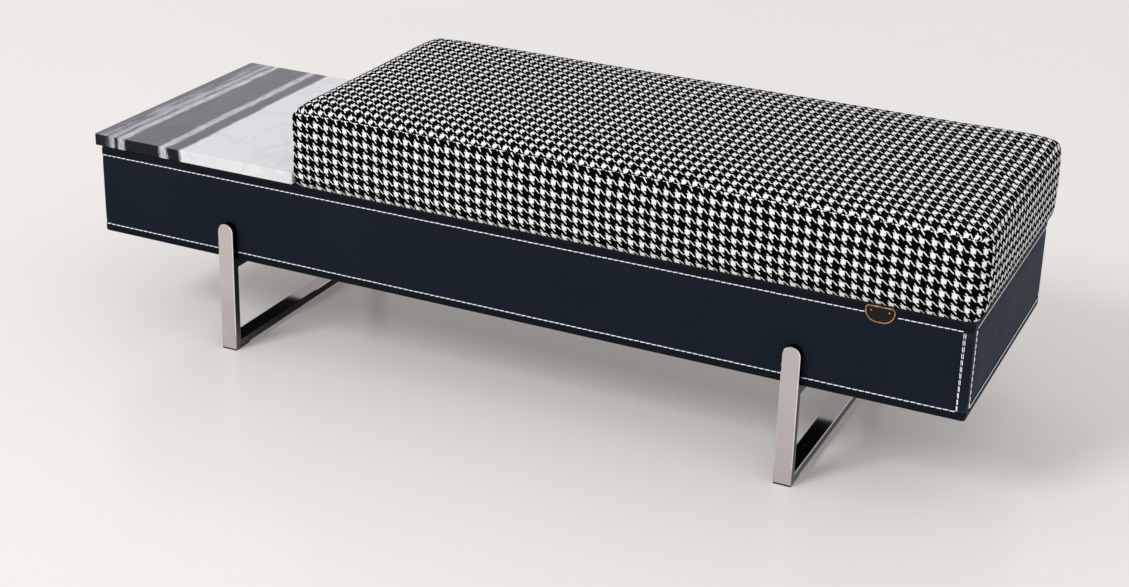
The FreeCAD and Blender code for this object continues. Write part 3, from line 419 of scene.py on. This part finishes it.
finishes = {
    "plywood": wood_finish("plywood", (0.46, 0.31, 0.17), (0.66, 0.49, 0.31), (12.0, 160.0, 420.0)),
    "timber": wood_finish("timber", (0.38, 0.23, 0.12), (0.58, 0.40, 0.24), (120.0, 8.0, 120.0)),
    "screw_steel": metal_finish("screw_steel", (0.45, 0.44, 0.41), (0.62, 0.60, 0.55), 0.28, 0.42),
    "insert_brass": metal_finish("insert_brass", (0.55, 0.38, 0.14), (0.72, 0.53, 0.22), 0.22, 0.36),
    "padding_foam": foam_finish("padding_foam", (0.52, 0.49, 0.40), (0.68, 0.65, 0.56)),
    "leather": leather_finish(),
    "thread": thread_finish(),
    "lining_cloth": cloth_finish("lining_cloth", (0.005, 0.005, 0.006), (0.016, 0.016, 0.018), 0.9 * MM),
    "grip_strip": cloth_finish("grip_strip", (0.006, 0.006, 0.008), (0.04, 0.04, 0.045), 1.6 * MM),
    "polished_steel": polished_finish(),
    "glide": rubber_finish("glide", (0.008, 0.008, 0.009), (0.022, 0.022, 0.024)),
    "badge_enamel": enamel_finish(),
    "badge_copper": metal_finish("badge_copper", (0.26, 0.13, 0.07), (0.70, 0.39, 0.20), 0.16, 0.3),
    "stone": stone_finish(),
    "bumper": rubber_finish("bumper", (0.02, 0.02, 0.022), (0.05, 0.05, 0.055)),
    "houndstooth": houndstooth_finish(),
    "cushion_foam": foam_finish("cushion_foam", (0.66, 0.62, 0.50), (0.80, 0.77, 0.66)),
}

for part in frame["record"]["subparts"]:
    for slot in nodes[part["node"]].material_slots:
        slot.material = finishes[part["material_slot"]]

# Meshes

joining_gap = 0.005 * MM
far_off = 1.0


def new_object(name, mesh, slot):
    """A smooth object with a finish, in the scene."""
    mesh.materials.append(finishes[slot])
    for polygon in mesh.polygons:
        polygon.use_smooth = True
    made = bpy.data.objects.new(name, mesh)
    scene.collection.objects.link(made)
    return made


def attach(piece, body, stands_for):
    """Let a piece ride on a body and stand for CAD nodes."""
    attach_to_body(piece, body)
    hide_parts(*stands_for)


def make_piece(name, points, faces, body, slot, stands_for):
    """A new closed piece, with doubled points joined and its faces turned outwards."""
    mesh = bpy.data.meshes.new(name)
    mesh.from_pydata(points, [], faces)
    form = bmesh.new()
    form.from_mesh(mesh)
    bmesh.ops.remove_doubles(form, verts=form.verts, dist=joining_gap)
    bmesh.ops.dissolve_degenerate(form, edges=form.edges, dist=joining_gap)
    bmesh.ops.recalc_face_normals(form, faces=form.faces)
    form.to_mesh(mesh)
    form.free()
    piece = new_object(name, mesh, slot)
    attach(piece, body, stands_for)
    return piece


def spaced(low, high, step):
    """Evenly spaced places from one end to the other."""
    count = max(1, round(abs(high - low) / step))
    return [low + (high - low) * number / count for number in range(count + 1)]


# Cushion: one closed cover of a top panel, four bands and an underside. Its top is a grid
# that rolls over a soft edge down to the seam, and the bands go on from there.

left_band, right_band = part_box("cushion_left_band"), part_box("cushion_right_band")
top_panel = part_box("cushion_top_panel")
cushion_middle = (left_band[0].x + right_band[1].x) / 2
cushion_half_x = (right_band[1].x - left_band[0].x) / 2
cushion_half_y = right_band[1].y
cushion_foot, cushion_seam, cushion_top = right_band[0].z, top_panel[0].z, top_panel[1].z
band_height = cushion_seam - cushion_foot
cloth_step = 14 * MM
crown = 4 * MM
crown_run = 148 * MM
edge_run, edge_drop = 27.5 * MM, cushion_top - crown - cushion_seam
edge_turns = (0.0, 0.25, 0.5, 0.73, 0.95, 1.14, 1.3, 1.42, 1.51, math.pi / 2)
pinch_depth, pinch_reach = 2.5 * MM, 4 * MM
foot_draw, foot_reach = 8 * MM, 5.8 * MM
corner_droop, joint_droop, droop_reach = 5 * MM, 4 * MM, 70 * MM
band_drops = (0, 1.2, 3, 6, 11, 19, 30, 43, 56, 69, 82, 94, 103, 110, 115, 118.5, 121, 123, 124.6)
girth_ring = 8
corner_round, joint_round, top_power = 22 * MM, 9 * MM, 2.2
under_lift = 2.2 * MM
swell_frames, swell_cap = 20, 3 * MM
puckers = ((70.0, 0.45), (23.0, 0.35))
ripple_scale, ripple_depth, ripple_reach = 9.0, 0.5 * MM, 20 * MM
pattern_drift, top_stretch = 0.004, 1.06
pattern_starts = {"top": (2.0, 10.2), "front": (5.0, 12.9), "rear": (9.0, 12.4), "end": (3.0, 12.9)}


def edge_profile():
    """The rolled edge, from the flat of the top to the seam: run outwards, drop, length of cloth."""
    profile = []
    for turn in edge_turns:
        run, drop = (edge_run + pinch_depth) * math.sin(turn), edge_drop * (1 - math.cos(turn))
        before = profile[-1] if profile else (run, drop, 0.0)
        profile.append((run, drop, before[2] + math.hypot(run - before[0], drop - before[1])))
    return profile


def roundness(radius):
    """How square a corner is, as the power that draws it over the width of the rolled edge."""
    reach = edge_run + pinch_depth
    return math.log(2) / -math.log(1 - radius * (1 - math.sqrt(0.5)) / reach)


def grid_line(half, profile):
    """Places across the top in one direction: flat place, level on the rolled edge, side."""
    flat = half - edge_run - pinch_depth
    rolled = [(flat, level, 1) for level in range(1, len(profile))]
    middle = [(place, 0, 0) for place in spaced(-flat, flat, cloth_step)]
    return [(-place, level, -1) for place, level, side in reversed(rolled)] + middle + rolled


class Cover:
    """The points of the cushion cover, with what the later steps need to know of each."""

    def __init__(self):
        self.points, self.outward, self.from_seam, self.held = [], [], [], []
        self.faces, self.corners = [], []

    def add(self, point, outward, from_seam, held=False):
        self.points.append(point)
        self.outward.append(outward)
        self.from_seam.append(from_seam)
        self.held.append(held)
        return len(self.points) - 1

    def face(self, indices, cloth):
        self.faces.append(indices)
        self.corners.extend(cloth)


def cushion_cover():
    """The sewn cover before it is filled."""
    cover = Cover()
    profile = edge_profile()
    last = len(profile) - 1
    cloth_edge = profile[last][2]
    columns, rows = grid_line(cushion_half_x, profile), grid_line(cushion_half_y, profile)

    def spot(column, row):
        """Flat place, direction down the edge and level of one grid point."""
        (x, level_x, side_x), (y, level_y, side_y) = column, row
        level = max(level_x, level_y)
        if not level:
            return Vector((x, y, 0)), Vector(), 0
        at_seam = roundness(corner_round if side_x > 0 else joint_round)
        power = top_power + (at_seam - top_power) * (level / last) ** 2
        size = (level_x ** power + level_y ** power) ** (1 / power)
        return Vector((x, y, 0)), Vector((side_x * level_x, side_y * level_y, 0)) / size, level

    def cloth_place(station):
        place, level, side = station
        return place + side * profile[level][2]

    def rise(place, half):
        """How far the crown has risen, from the rolled edge inwards."""
        share = (half - abs(place) - edge_run - pinch_depth) / crown_run
        return 1 - (1 - max(0.0, min(1.0, share))) ** 2

    def droop(point):
        """How far a corner hangs below the sides."""
        near = [1 - (half - abs(place)) / droop_reach
                for place, half in ((point.x, cushion_half_x), (point.y, cushion_half_y))]
        depth = corner_droop if point.x > 0 else joint_droop
        return depth * (max(near[0], 0) * max(near[1], 0)) ** 2

    middle = Vector((cushion_middle, 0, 0))
    top, under = {}, {}
    for i, column in enumerate(columns):
        for j, row in enumerate(rows):
            flat, way, level = spot(column, row)
            run, drop, length = profile[level]
            point = flat + way * run
            risen = rise(point.x, cushion_half_x) * rise(point.y, cushion_half_y)
            point.z = cushion_top - drop - crown * (1 - risen) - droop(point)
            top[i, j] = cover.add(point + middle, way, cloth_edge - length, level == last)
            foot = flat + way * (edge_run + pinch_depth - foot_draw) * length / cloth_edge
            foot.z = cushion_foot if level else cushion_foot + under_lift
            if level < last:
                under[i, j] = cover.add(foot + middle, way, far_off, True)
    wide, deep = len(columns) - 1, len(rows) - 1
    for i in range(wide):
        for j in range(deep):
            square = ((i, j), (i + 1, j), (i + 1, j + 1), (i, j + 1))
            cloth = []
            for column, row in square:
                along, across = cloth_place(columns[column]), cloth_place(rows[row])
                cloth.append(("top", along, (across + along * pattern_drift) / top_stretch))
            cover.face([top[key] for key in square], cloth)

    loop = [(i, 0) for i in range(last, wide)] + [(wide, j) for j in range(deep)]
    loop += [(i, deep) for i in range(wide, 0, -1)] + [(0, j) for j in range(deep, 0, -1)]
    loop += [(i, 0) for i in range(last)]
    strips = []
    for i, j in loop:
        flat, way, level = spot(columns[i], rows[j])
        strip = [top[i, j]]
        for drop in band_drops[1:]:
            draw = foot_draw * math.exp((drop * MM - band_height) / foot_reach)
            point = flat + way * (edge_run + pinch_depth - draw)
            point.z = cushion_seam - drop * MM - droop(point) * (1 - drop * MM / band_height)
            strip.append(cover.add(point + middle, way, drop * MM))
        rim = flat + way * (edge_run + pinch_depth - foot_draw)
        rim.z = cushion_foot
        under[i, j] = cover.add(rim + middle, way, band_height, True)
        strips.append(strip + [under[i, j]])
    drops = [drop * MM for drop in band_drops] + [band_height]
    walked = 0.0
    for number, strip in enumerate(strips):
        following = strips[(number + 1) % len(strips)]
        stride = (cover.points[following[girth_ring]] - cover.points[strip[girth_ring]]).length
        (i, j), (k, _) = loop[number], loop[(number + 1) % len(loop)]
        panel = "end"
        if columns[i][1] == columns[k][1] == 0:
            panel = "front" if j == 0 else "rear"
        for ring in range(len(strip) - 1):
            indices = [strip[ring + 1], following[ring + 1], following[ring], strip[ring]]
            places = ((walked, drops[ring + 1]), (walked + stride, drops[ring + 1]),
                      (walked + stride, drops[ring]), (walked, drops[ring]))
            cover.face(indices, [(panel, along, -down) for along, down in places])
        walked += stride
    for i in range(wide):
        for j in range(deep):
            square = ((i, j), (i, j + 1), (i + 1, j + 1), (i + 1, j))
            cover.face([under[key] for key in square], [
                ("top", cloth_place(columns[column]), cloth_place(rows[row])) for column, row in square])
    return cover


def swell(piece, held):
    """Let the cover swell as cloth under pressure, and keep the capped result, flat beside the slab."""
    rest = [vertex.co.copy() for vertex in piece.data.vertices]
    group = piece.vertex_groups.new(name="held")
    group.add([number for number, fixed in enumerate(held) if fixed], 1.0, "REPLACE")
    cloth = piece.modifiers.new("swell", "CLOTH")
    settings = cloth.settings
    settings.quality = 5
    settings.mass = 0.3
    settings.tension_stiffness = settings.compression_stiffness = 25
    settings.shear_stiffness = 12
    settings.bending_stiffness = 2
    settings.use_pressure = True
    settings.uniform_pressure_force = 4
    settings.vertex_group_mass = group.name
    settings.effector_weights.gravity = 0
    cloth.collision_settings.use_collision = False
    for step in range(swell_frames):
        scene.frame_set(step + 1)
    swollen = piece.evaluated_get(bpy.context.evaluated_depsgraph_get())
    moved = [vertex.co.copy() for vertex in swollen.data.vertices]
    piece.modifiers.remove(cloth)
    piece.vertex_groups.remove(group)
    scene.frame_set(1)
    for vertex, start, end in zip(piece.data.vertices, rest, moved):
        shift = end - start
        vertex.co = start + shift * (swell_cap / (swell_cap + shift.length))
        vertex.co.x = max(vertex.co.x, left_band[0].x)


def sew(piece, cover):
    """Pull the seam in with small puckers, and leave the cloth a little uneven."""
    for vertex, outward, gap in zip(piece.data.vertices, cover.outward, cover.from_seam):
        if gap >= far_off:
            continue
        pucker = sum(noise.noise(vertex.co * scale) * share for scale, share in puckers)
        pull = pinch_depth * math.exp(-gap / pinch_reach) * (1 + pucker)
        ripple = noise.noise(vertex.co * ripple_scale) * ripple_depth * min(1.0, gap / ripple_reach)
        vertex.co += outward * (ripple - pull)
        if not outward.length:
            vertex.co.z += ripple


def make_cushion():
    """The filled and sewn cover, which also stands for the foam under it."""
    cover = cushion_cover()
    mesh = bpy.data.meshes.new("cushion_cover")
    mesh.from_pydata(cover.points, [], cover.faces)
    cloth = mesh.uv_layers.new(name="cloth")
    for place, (panel, along, up) in zip(cloth.data, cover.corners):
        start_x, start_y = pattern_starts[panel]
        place.uv = (along + start_x * cloth_repeat, up + start_y * cloth_repeat)
    piece = new_object("cushion_cover", mesh, "houndstooth")
    swell(piece, cover.held)
    sew(piece, cover)
    mesh.update()
    rounding = piece.modifiers.new("rounding", "SUBSURF")
    rounding.levels = rounding.render_levels = 1
    attach(piece, "cushion", (
        "cushion_top_panel", "cushion_front_band", "cushion_rear_band", "cushion_left_band",
        "cushion_right_band", "cushion_topper", "cushion_foam"))


make_cushion()

# Leather: two long covers, two corner strips and two borders that lap over them, all laid
# out on the rounded outline of the box.

box_low, box_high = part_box("leather_bottom_border")[0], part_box("leather_top_border")[1]
wrap_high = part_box("leather_front_left")[1]
strip_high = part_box("leather_corner_front_right")[1]
half_length, half_depth = box_high.x, box_high.y
box_top, box_bottom = box_high.z, box_low.z
seam_x, seam_y = wrap_high.x, -strip_high.y
box_round = 6 * MM
lap, tuck = 1.8 * MM, 2.5 * MM
recess, recess_reach = 1.05 * MM, 4 * MM
hide, tightest_round = 2 * MM, 0.5 * MM
lumps, lump_depth = Vector((7, 7, 10)), 0.15 * MM
strip_turn, strip_reach, strip_end = 0.5 * MM, 0.4 * MM, 5 * MM
strip_edge, strip_gap, strip_back = 0.4 * MM, 0.15 * MM, 1.05 * MM
joint_dip, joint_reach = 0.5, 0.35 * MM
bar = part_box("right_front_upright")
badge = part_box("badge_rim")
bar_x, bar_half = (bar[0].x + bar[1].x) / 2, (bar[1].x - bar[0].x) / 2
SIDES = {"front": (0, -1), "right": (1, 0), "left": (-1, 0)}


def inset_place(point, outward, offset):
    """A point of the box's outline, moved out by an offset, or in without crossing at the corners."""
    radius = max(box_round + offset, tightest_round)
    reach_x, reach_y = half_length + offset - radius, half_depth + offset - radius
    if outward.x and outward.y:
        centre = Vector((math.copysign(reach_x, outward.x), math.copysign(reach_y, outward.y)))
    else:
        centre = Vector((max(-reach_x, min(reach_x, point.x)), max(-reach_y, min(reach_y, point.y))))
        if outward.x:
            centre.x = math.copysign(reach_x, outward.x)
        else:
            centre.y = math.copysign(reach_y, outward.y)
    return centre + outward * radius


def side_run(side, places):
    """Stations along one straight side: a point of the outline and the way out."""
    outward = Vector(SIDES[side])
    if outward.y:
        return [(Vector((place, half_depth * outward.y)), outward) for place in places]
    return [(Vector((half_length * outward.x, place)), outward) for place in places]


def corner_run(start):
    """Stations round one corner, without the ends of the arc. The start is an angle in degrees."""
    angles = [math.radians(start + turn) for turn in (18, 36, 54, 72)]
    return [(Vector(), Vector((math.cos(angle), math.sin(angle)))) for angle in angles]


def sweep(stations, section, closed):
    """Points and faces of a strip whose section, a closed outline, is given at each station."""
    points, faces = [], []
    for point, outward in stations:
        for offset, z in section(point, outward):
            place = inset_place(point, outward, offset)
            points.append((place.x, place.y, z))
    count = len(points) // len(stations)
    steps = len(stations) if closed else len(stations) - 1
    for step in range(steps):
        here, there = step * count, (step + 1) % len(stations) * count
        for number in range(count):
            following = (number + 1) % count
            faces.append((here + number, there + number, there + following, here + following))
    if not closed:
        faces.append(tuple(range(count)))
        faces.append(tuple(range(len(points) - count, len(points))))
    return points, faces


def half_turned(points):
    """The same points on the other side of the bench."""
    return [(-x, -y, z) for x, y, z in points]


def wrap_section(point, outward):
    """A long cover: tucked under its neighbours at the edges and full between them."""
    end_gap = min(seam_x - point.x if outward.y else far_off, seam_y - point.y if outward.x else far_off)
    outer = []
    for z in wrap_heights:
        gap = min(z - seam_low, seam_high - z, end_gap) - lap
        sunk = recess * math.exp(-max(gap, 0.0) / recess_reach)
        uneven = noise.noise(Vector((point.x, point.y, z)) * lumps) - 1
        outer.append((-sunk + uneven * lump_depth, z))
    return outer + [(-hide, wrap_heights[-1]), (-hide, wrap_heights[0])]


def strip_section(point, outward):
    """A corner strip: flat, with its long edges turned down."""
    along = min(point.x - seam_x if outward.y else far_off, -seam_y - point.y if outward.x else far_off)
    gap = along + lap
    drop = strip_turn * math.exp(-max(gap, 0.0) / strip_reach) if gap < strip_end else 0.0
    low, high = seam_low + lap + strip_gap, seam_high - lap - strip_gap
    outer = [(-strip_edge - drop, low), (-drop, low + strip_turn)]
    outer += [(-drop, z) for z in spaced(low + 10 * MM, high - 10 * MM, 15 * MM)]
    outer += [(-drop, high - strip_turn), (-strip_edge - drop, high)]
    return outer + [(-strip_back, high), (-strip_back, low)]


def border_section(edge, up, lip):
    """A border: an upright part that laps over the covers, a soft fold and a lip on the flat."""
    tall, wide = (box_top - seam_high + lap) / MM, lip / MM

    def section(point, outward):
        """The outline here. The wall is in millimetres: offset from the face, depth from the edge."""
        joint = 0.0
        if not (outward.x and outward.y):
            gap = seam_x + point.x * outward.y if outward.y else seam_y + point.y * outward.x
            joint = joint_dip * math.exp(-abs(gap) / joint_reach)
        wall = [(-0.6, tall), (-0.1 - joint, tall - 0.35), (-joint, tall - 1.0), (0.1 - joint, tall - 4.0),
                (0.22 - joint, tall * 0.5), (0.1 - joint, 4.2), (-0.08 - joint, 2.4), (-0.55 - joint, 1.1),
                (-1.5 - joint, 0.25), (-3.2, 0.0), (-wide, 0.0), (-wide, 1.6), (-3.6, 1.6), (-1.9, 2.4),
                (-1.1, 4.4), (-0.95, tall * 0.5), (-0.95, tall)]
        return [(offset * MM, edge - up * depth * MM) for offset, depth in wall]

    return section


edge_marks = [gap * MM for gap in (3, 5, 8, 13)]
wrap_heights = sorted({
    seam_low - tuck, seam_low, seam_low + lap, seam_high - lap, seam_high, seam_high + tuck,
    *(seam_low + gap for gap in edge_marks), *(seam_high - gap for gap in edge_marks),
    *spaced(seam_low + 22 * MM, seam_high - 22 * MM, 13 * MM)})
straight_x, straight_y = half_length - box_round, half_depth - box_round


def up_to_seam(start, seam):
    """Places along a cover, closer together where it dips under its neighbour at the seam."""
    dip = [seam - gap for gap in (15 * MM, 8 * MM, 4 * MM, lap, 0, -tuck)]
    return spaced(start, seam - 27 * MM, 14 * MM) + dip


def make_twins(points, faces, names):
    """A leather piece and the same piece on the other side of the bench, each with its node."""
    for (name, node), places in zip(names, (points, half_turned(points))):
        make_piece(name, places, faces, "base", "leather", [node])


def make_leather():
    """The covers, the corner strips and then the borders that lap over both."""
    stations = side_run("left", reversed(up_to_seam(-straight_y, seam_y))) + corner_run(180)
    stations += side_run("front", up_to_seam(-straight_x, seam_x))
    make_twins(*sweep(stations, wrap_section, False), (
        ("leather_wrap_front_left", "leather_front_left"),
        ("leather_wrap_rear_right", "leather_rear_right")))

    front_marks = [seam_x - lap, seam_x - lap + 0.5 * MM, seam_x, seam_x + 2 * MM, straight_x]
    side_marks = [-straight_y, -seam_y - 8 * MM, -seam_y, -seam_y + lap - 0.5 * MM, -seam_y + lap]
    stations = side_run("front", front_marks) + corner_run(270) + side_run("right", side_marks)
    make_twins(*sweep(stations, strip_section, False), (
        ("leather_strip_front_right", "leather_corner_front_right"),
        ("leather_strip_rear_left", "leather_corner_rear_left")))

    joint = [gap * MM for gap in (-1.2, -0.4, 0, 0.4, 1.2)]
    front_marks = spaced(-straight_x, seam_x - 8 * MM, 22 * MM)
    front_marks += [seam_x + gap for gap in joint] + [straight_x]
    side_marks = [-straight_y] + [gap - seam_y for gap in joint]
    side_marks += spaced(8 * MM - seam_y, straight_y, 22 * MM)
    stations = side_run("front", front_marks) + corner_run(270)
    stations += side_run("right", side_marks) + corner_run(0)
    stations += [(-point, -outward) for point, outward in stations]
    for name, node, edge, up, lip in (
            ("leather_border_top", "leather_top_border", box_top, 1, 25 * MM),
            ("leather_border_bottom", "leather_bottom_border", box_bottom, -1, 15 * MM)):
        points, faces = sweep(stations, border_section(edge, up, lip), True)
        make_piece(name, points, faces, "base", "leather", [node])


make_leather()

# Stitching: short lengths of thread, each rising out of the leather and going back in.

stitch_pitch, stitch_length = 9.4 * MM, 9.0 * MM
thread_radius, upright_radius = 0.8 * MM, 0.55 * MM
stitch_rings = ((-1.0, 0.5, -0.55), (-0.86, 0.8, -0.1), (-0.5, 1.0, 0.22), (0.0, 1.0, 0.3),
                (0.5, 1.0, 0.22), (0.86, 0.8, -0.1), (1.0, 0.5, -0.55))
stitch_sides, stitch_flatness = 8, 0.75
stitch_tilt, tilt_spread, shift_spread = 0.05, 0.03, 0.12
row_gap, row_gap_foot = 2.6 * MM, 0.9 * MM
bar_gap, badge_gap, corner_gap, seam_gap = 4 * MM, 3 * MM, 4 * MM, 0.5 * MM
steady = random.Random(7)


def stitch_row(points, faces, start, end, out, breaks=(), radius=thread_radius):
    """Stitches from one point to another on a face, left out where something covers the row."""
    way = (end - start).normalized()
    across = out.cross(way)
    count = int((end - start).length / stitch_pitch)
    for number in range(count):
        middle = start + (end - start) * ((number + 0.5) / count)
        tilt = stitch_tilt + steady.uniform(-tilt_spread, tilt_spread)
        shift = steady.uniform(-shift_spread, shift_spread) * MM
        if any(low < middle.x < high for low, high in breaks):
            continue
        first = len(points)
        for along, girth, lift in stitch_rings:
            centre = middle + way * along * stitch_length / 2
            centre += across * (tilt * along * stitch_length / 2 + shift) + out * lift * MM
            for side in range(stitch_sides):
                angle = 2 * math.pi * side / stitch_sides
                swing = across * math.cos(angle) + out * math.sin(angle) * stitch_flatness
                points.append(tuple(centre + swing * radius * girth))
        for ring in range(len(stitch_rings) - 1):
            here = first + ring * stitch_sides
            there = here + stitch_sides
            for side in range(stitch_sides):
                turn = (side + 1) % stitch_sides
                faces.append((here + side, here + turn, there + turn, there + side))
        faces.append(tuple(range(first, first + stitch_sides)))
        faces.append(tuple(range(len(points) - stitch_sides, len(points))))


def make_stitching():
    """The rows on the front and the right end, then the same turned by half for the other sides."""
    points, faces = [], []
    face_y, face_x = -half_depth, half_length
    forward, sideways = Vector((0, -1, 0)), Vector((1, 0, 0))
    by_bars = [(side * bar_x - bar_half - bar_gap, side * bar_x + bar_half + bar_gap) for side in (-1, 1)]
    by_badge = [(badge[0].x - badge_gap, badge[1].x + badge_gap)]
    left, right, top = corner_gap - half_length, seam_x - seam_gap, seam_high - lap
    for turned in (False, True):
        found = len(points)
        for z, breaks in ((seam_high, () if turned else by_badge), (seam_low, by_bars)):
            start, end = Vector((left, face_y, z)), Vector((right, face_y, z))
            stitch_row(points, faces, start, end, forward, breaks)
        for at_top, at_foot in ((0.0, 0.0), (row_gap, row_gap_foot)):
            start = Vector((seam_x + at_foot, face_y, seam_low))
            end = Vector((seam_x + at_top, face_y, top))
            stitch_row(points, faces, start, end, forward, (), upright_radius)
        for z in (seam_low, seam_high):
            start = Vector((face_x, seam_gap - seam_y, z))
            end = Vector((face_x, half_depth - corner_gap, z))
            stitch_row(points, faces, start, end, sideways)
        for y in (-seam_y, -seam_y - row_gap):
            start, end = Vector((face_x, y, seam_low)), Vector((face_x, y, top))
            stitch_row(points, faces, start, end, sideways)
        if turned:
            points[found:] = half_turned(points[found:])
    make_piece("seam_stitches", points, faces, "base", "thread", ["stitching"])


make_stitching()

# Cloths: thin sheets laid on the deck and stretched under the box and the cushion.

sheet_step, sheet_ease, sheet_lumps = 40 * MM, 0.12 * MM, 14


def make_sheet(name, node, body):
    """A closed thin sheet in the place of its node, a little uneven on both faces."""
    low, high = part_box(node)
    columns, rows = spaced(low.x, high.x, sheet_step), spaced(low.y, high.y, sheet_step)
    points, faces = [], []
    for level, sunk in ((low.z, -0.3), (high.z, 1)):
        for x in columns:
            for y in rows:
                lump = 0.5 + 0.5 * noise.noise(Vector((x * sheet_lumps, y * sheet_lumps, 1)))
                points.append((x, y, level - sheet_ease * lump * sunk))
    wide, deep = len(columns), len(rows)
    half = wide * deep
    for i in range(wide - 1):
        for j in range(deep - 1):
            here = i * deep + j
            faces.append((here, here + 1, here + deep + 1, here + deep))
            faces.append((half + here, half + here + deep, half + here + deep + 1, half + here + 1))
    rim = [i * deep for i in range(wide)] + [(wide - 1) * deep + j for j in range(1, deep)]
    rim += [i * deep + deep - 1 for i in range(wide - 2, -1, -1)] + list(range(deep - 2, 0, -1))
    for here, there in zip(rim, rim[1:] + rim[:1]):
        faces.append((here, there, half + there, half + here))
    piece = make_piece(name, points, faces, body, "lining_cloth", [node])


make_sheet("deck_lining_cloth", "deck_lining", "base")
make_sheet("dust_cover_cloth", "dust_cover", "base")
make_sheet("cushion_base_cloth", "cushion_bottom_cloth", "cushion")

# Floor, light and camera


def shown_rays(tree):
    """One for rays that show a surface in the picture, in metal or through glass."""
    path = tree.nodes.new("ShaderNodeLightPath")
    shown = path.outputs["Is Camera Ray"]
    for ray in ("Is Glossy Ray", "Is Transmission Ray"):
        either = tree.nodes.new("ShaderNodeMath")
        either.operation = "MAXIMUM"
        tree.links.new(shown, either.inputs[0])
        tree.links.new(path.outputs[ray], either.inputs[1])
        shown = either.outputs[0]
    return shown


floor_half = 14.0
floor_lift = 0.14
floor_mesh = bpy.data.meshes.new("floor")
floor_corners = [(x * floor_half, y * floor_half, 0) for x, y in ((-1, -1), (1, -1), (1, 1), (-1, 1))]
floor_mesh.from_pydata(floor_corners, [], [(0, 1, 2, 3)])
floor = bpy.data.objects.new("floor", floor_mesh)
scene.collection.objects.link(floor)
floor_finish = Finish("pale_floor", {"Specular IOR Level": 0.25})
floor_place = floor_finish.place()
floor_clouds, floor_wear = floor_finish.noise(floor_place, 0.5, 2.0), floor_finish.noise(floor_place, 3.0)
floor_tones = [(0.3, (0.84, 0.81, 0.79)), (0.7, (0.87, 0.84, 0.82))]
floor_finish.out("Base Color", floor_finish.ramp(floor_clouds, floor_tones))
floor_finish.out("Roughness", floor_finish.spread(floor_wear, 0.3, 0.7, 0.17, 0.23))
floor_glow = floor_finish.node("Emission", {"Color": (0.9, 0.86, 0.83, 1)}).outputs[0]
floor_share = floor_finish.times(shown_rays(floor_finish.tree), floor_lift)
floor_shaders = {0: floor_share, 1: floor_finish.surface.outputs[0], 2: floor_glow}
floor_mix = floor_finish.node("MixShader", floor_shaders)
floor_finish.feed(floor_finish.tree.nodes["Material Output"].inputs["Surface"], floor_mix.outputs[0])
floor_mesh.materials.append(floor_finish.material)


def area_light(name, place, target, size, power):
    """A soft square lamp that looks at a target, and isn't mirrored in the floor or the metal."""
    lamp = bpy.data.lights.new(name, "AREA")
    lamp.size = size
    lamp.energy = power
    holder = bpy.data.objects.new(name, lamp)
    holder.location = place
    holder.visible_glossy = False
    holder.rotation_euler = (Vector(target) - Vector(place)).to_track_quat("-Z", "Y").to_euler()
    scene.collection.objects.link(holder)


area_light("key_light", place=(-3.0, -6.4, 6.0), target=(0, 0, 0.2), size=2.8, power=420)
area_light("side_light", place=(5.0, -0.6, 1.0), target=(0.7, 0, 0.35), size=1.6, power=28)

world = bpy.data.worlds.new("studio")
scene.world = world
world.use_nodes = True
world_tree = world.node_tree
lighting = world_tree.nodes["Background"]
lighting.inputs["Color"].default_value = (0.70, 0.695, 0.69, 1)
backdrop = world_tree.nodes.new("ShaderNodeBackground")
backdrop.inputs["Color"].default_value = (0.86, 0.83, 0.81, 1)
choice = world_tree.nodes.new("ShaderNodeMixShader")
for number, source in enumerate((shown_rays(world_tree), lighting.outputs[0], backdrop.outputs[0])):
    world_tree.links.new(source, choice.inputs[number])
world_tree.links.new(choice.outputs[0], world_tree.nodes["World Output"].inputs["Surface"])

image_width = 1129
focal_pixels, principal_drop = 1949.3, -100.0
azimuth, elevation, roll = math.radians(24.91), math.radians(20.94), math.radians(1.53)
camera_place = Vector((1.2507, -2.6750, 1.4174))
camera_data = bpy.data.cameras.new("camera")
camera_data.sensor_width = 36.0
camera_data.lens = camera_data.sensor_width * focal_pixels / image_width
camera_data.shift_y = principal_drop / image_width
camera = bpy.data.objects.new("camera", camera_data)
back = Vector((math.sin(azimuth) * math.cos(elevation), -math.cos(azimuth) * math.cos(elevation),
               math.sin(elevation)))
level_right = Vector((0, 0, 1)).cross(back).normalized()
level_up = back.cross(level_right)
right = level_right * math.cos(roll) + level_up * math.sin(roll)
up = level_up * math.cos(roll) - level_right * math.sin(roll)
camera.matrix_world = Matrix.Translation(camera_place) @ Matrix((right, up, back)).transposed().to_4x4()
bpy.context.scene.collection.objects.link(camera)
bpy.context.scene.camera = camera
bpy.context.scene.view_settings.view_transform = "Standard"
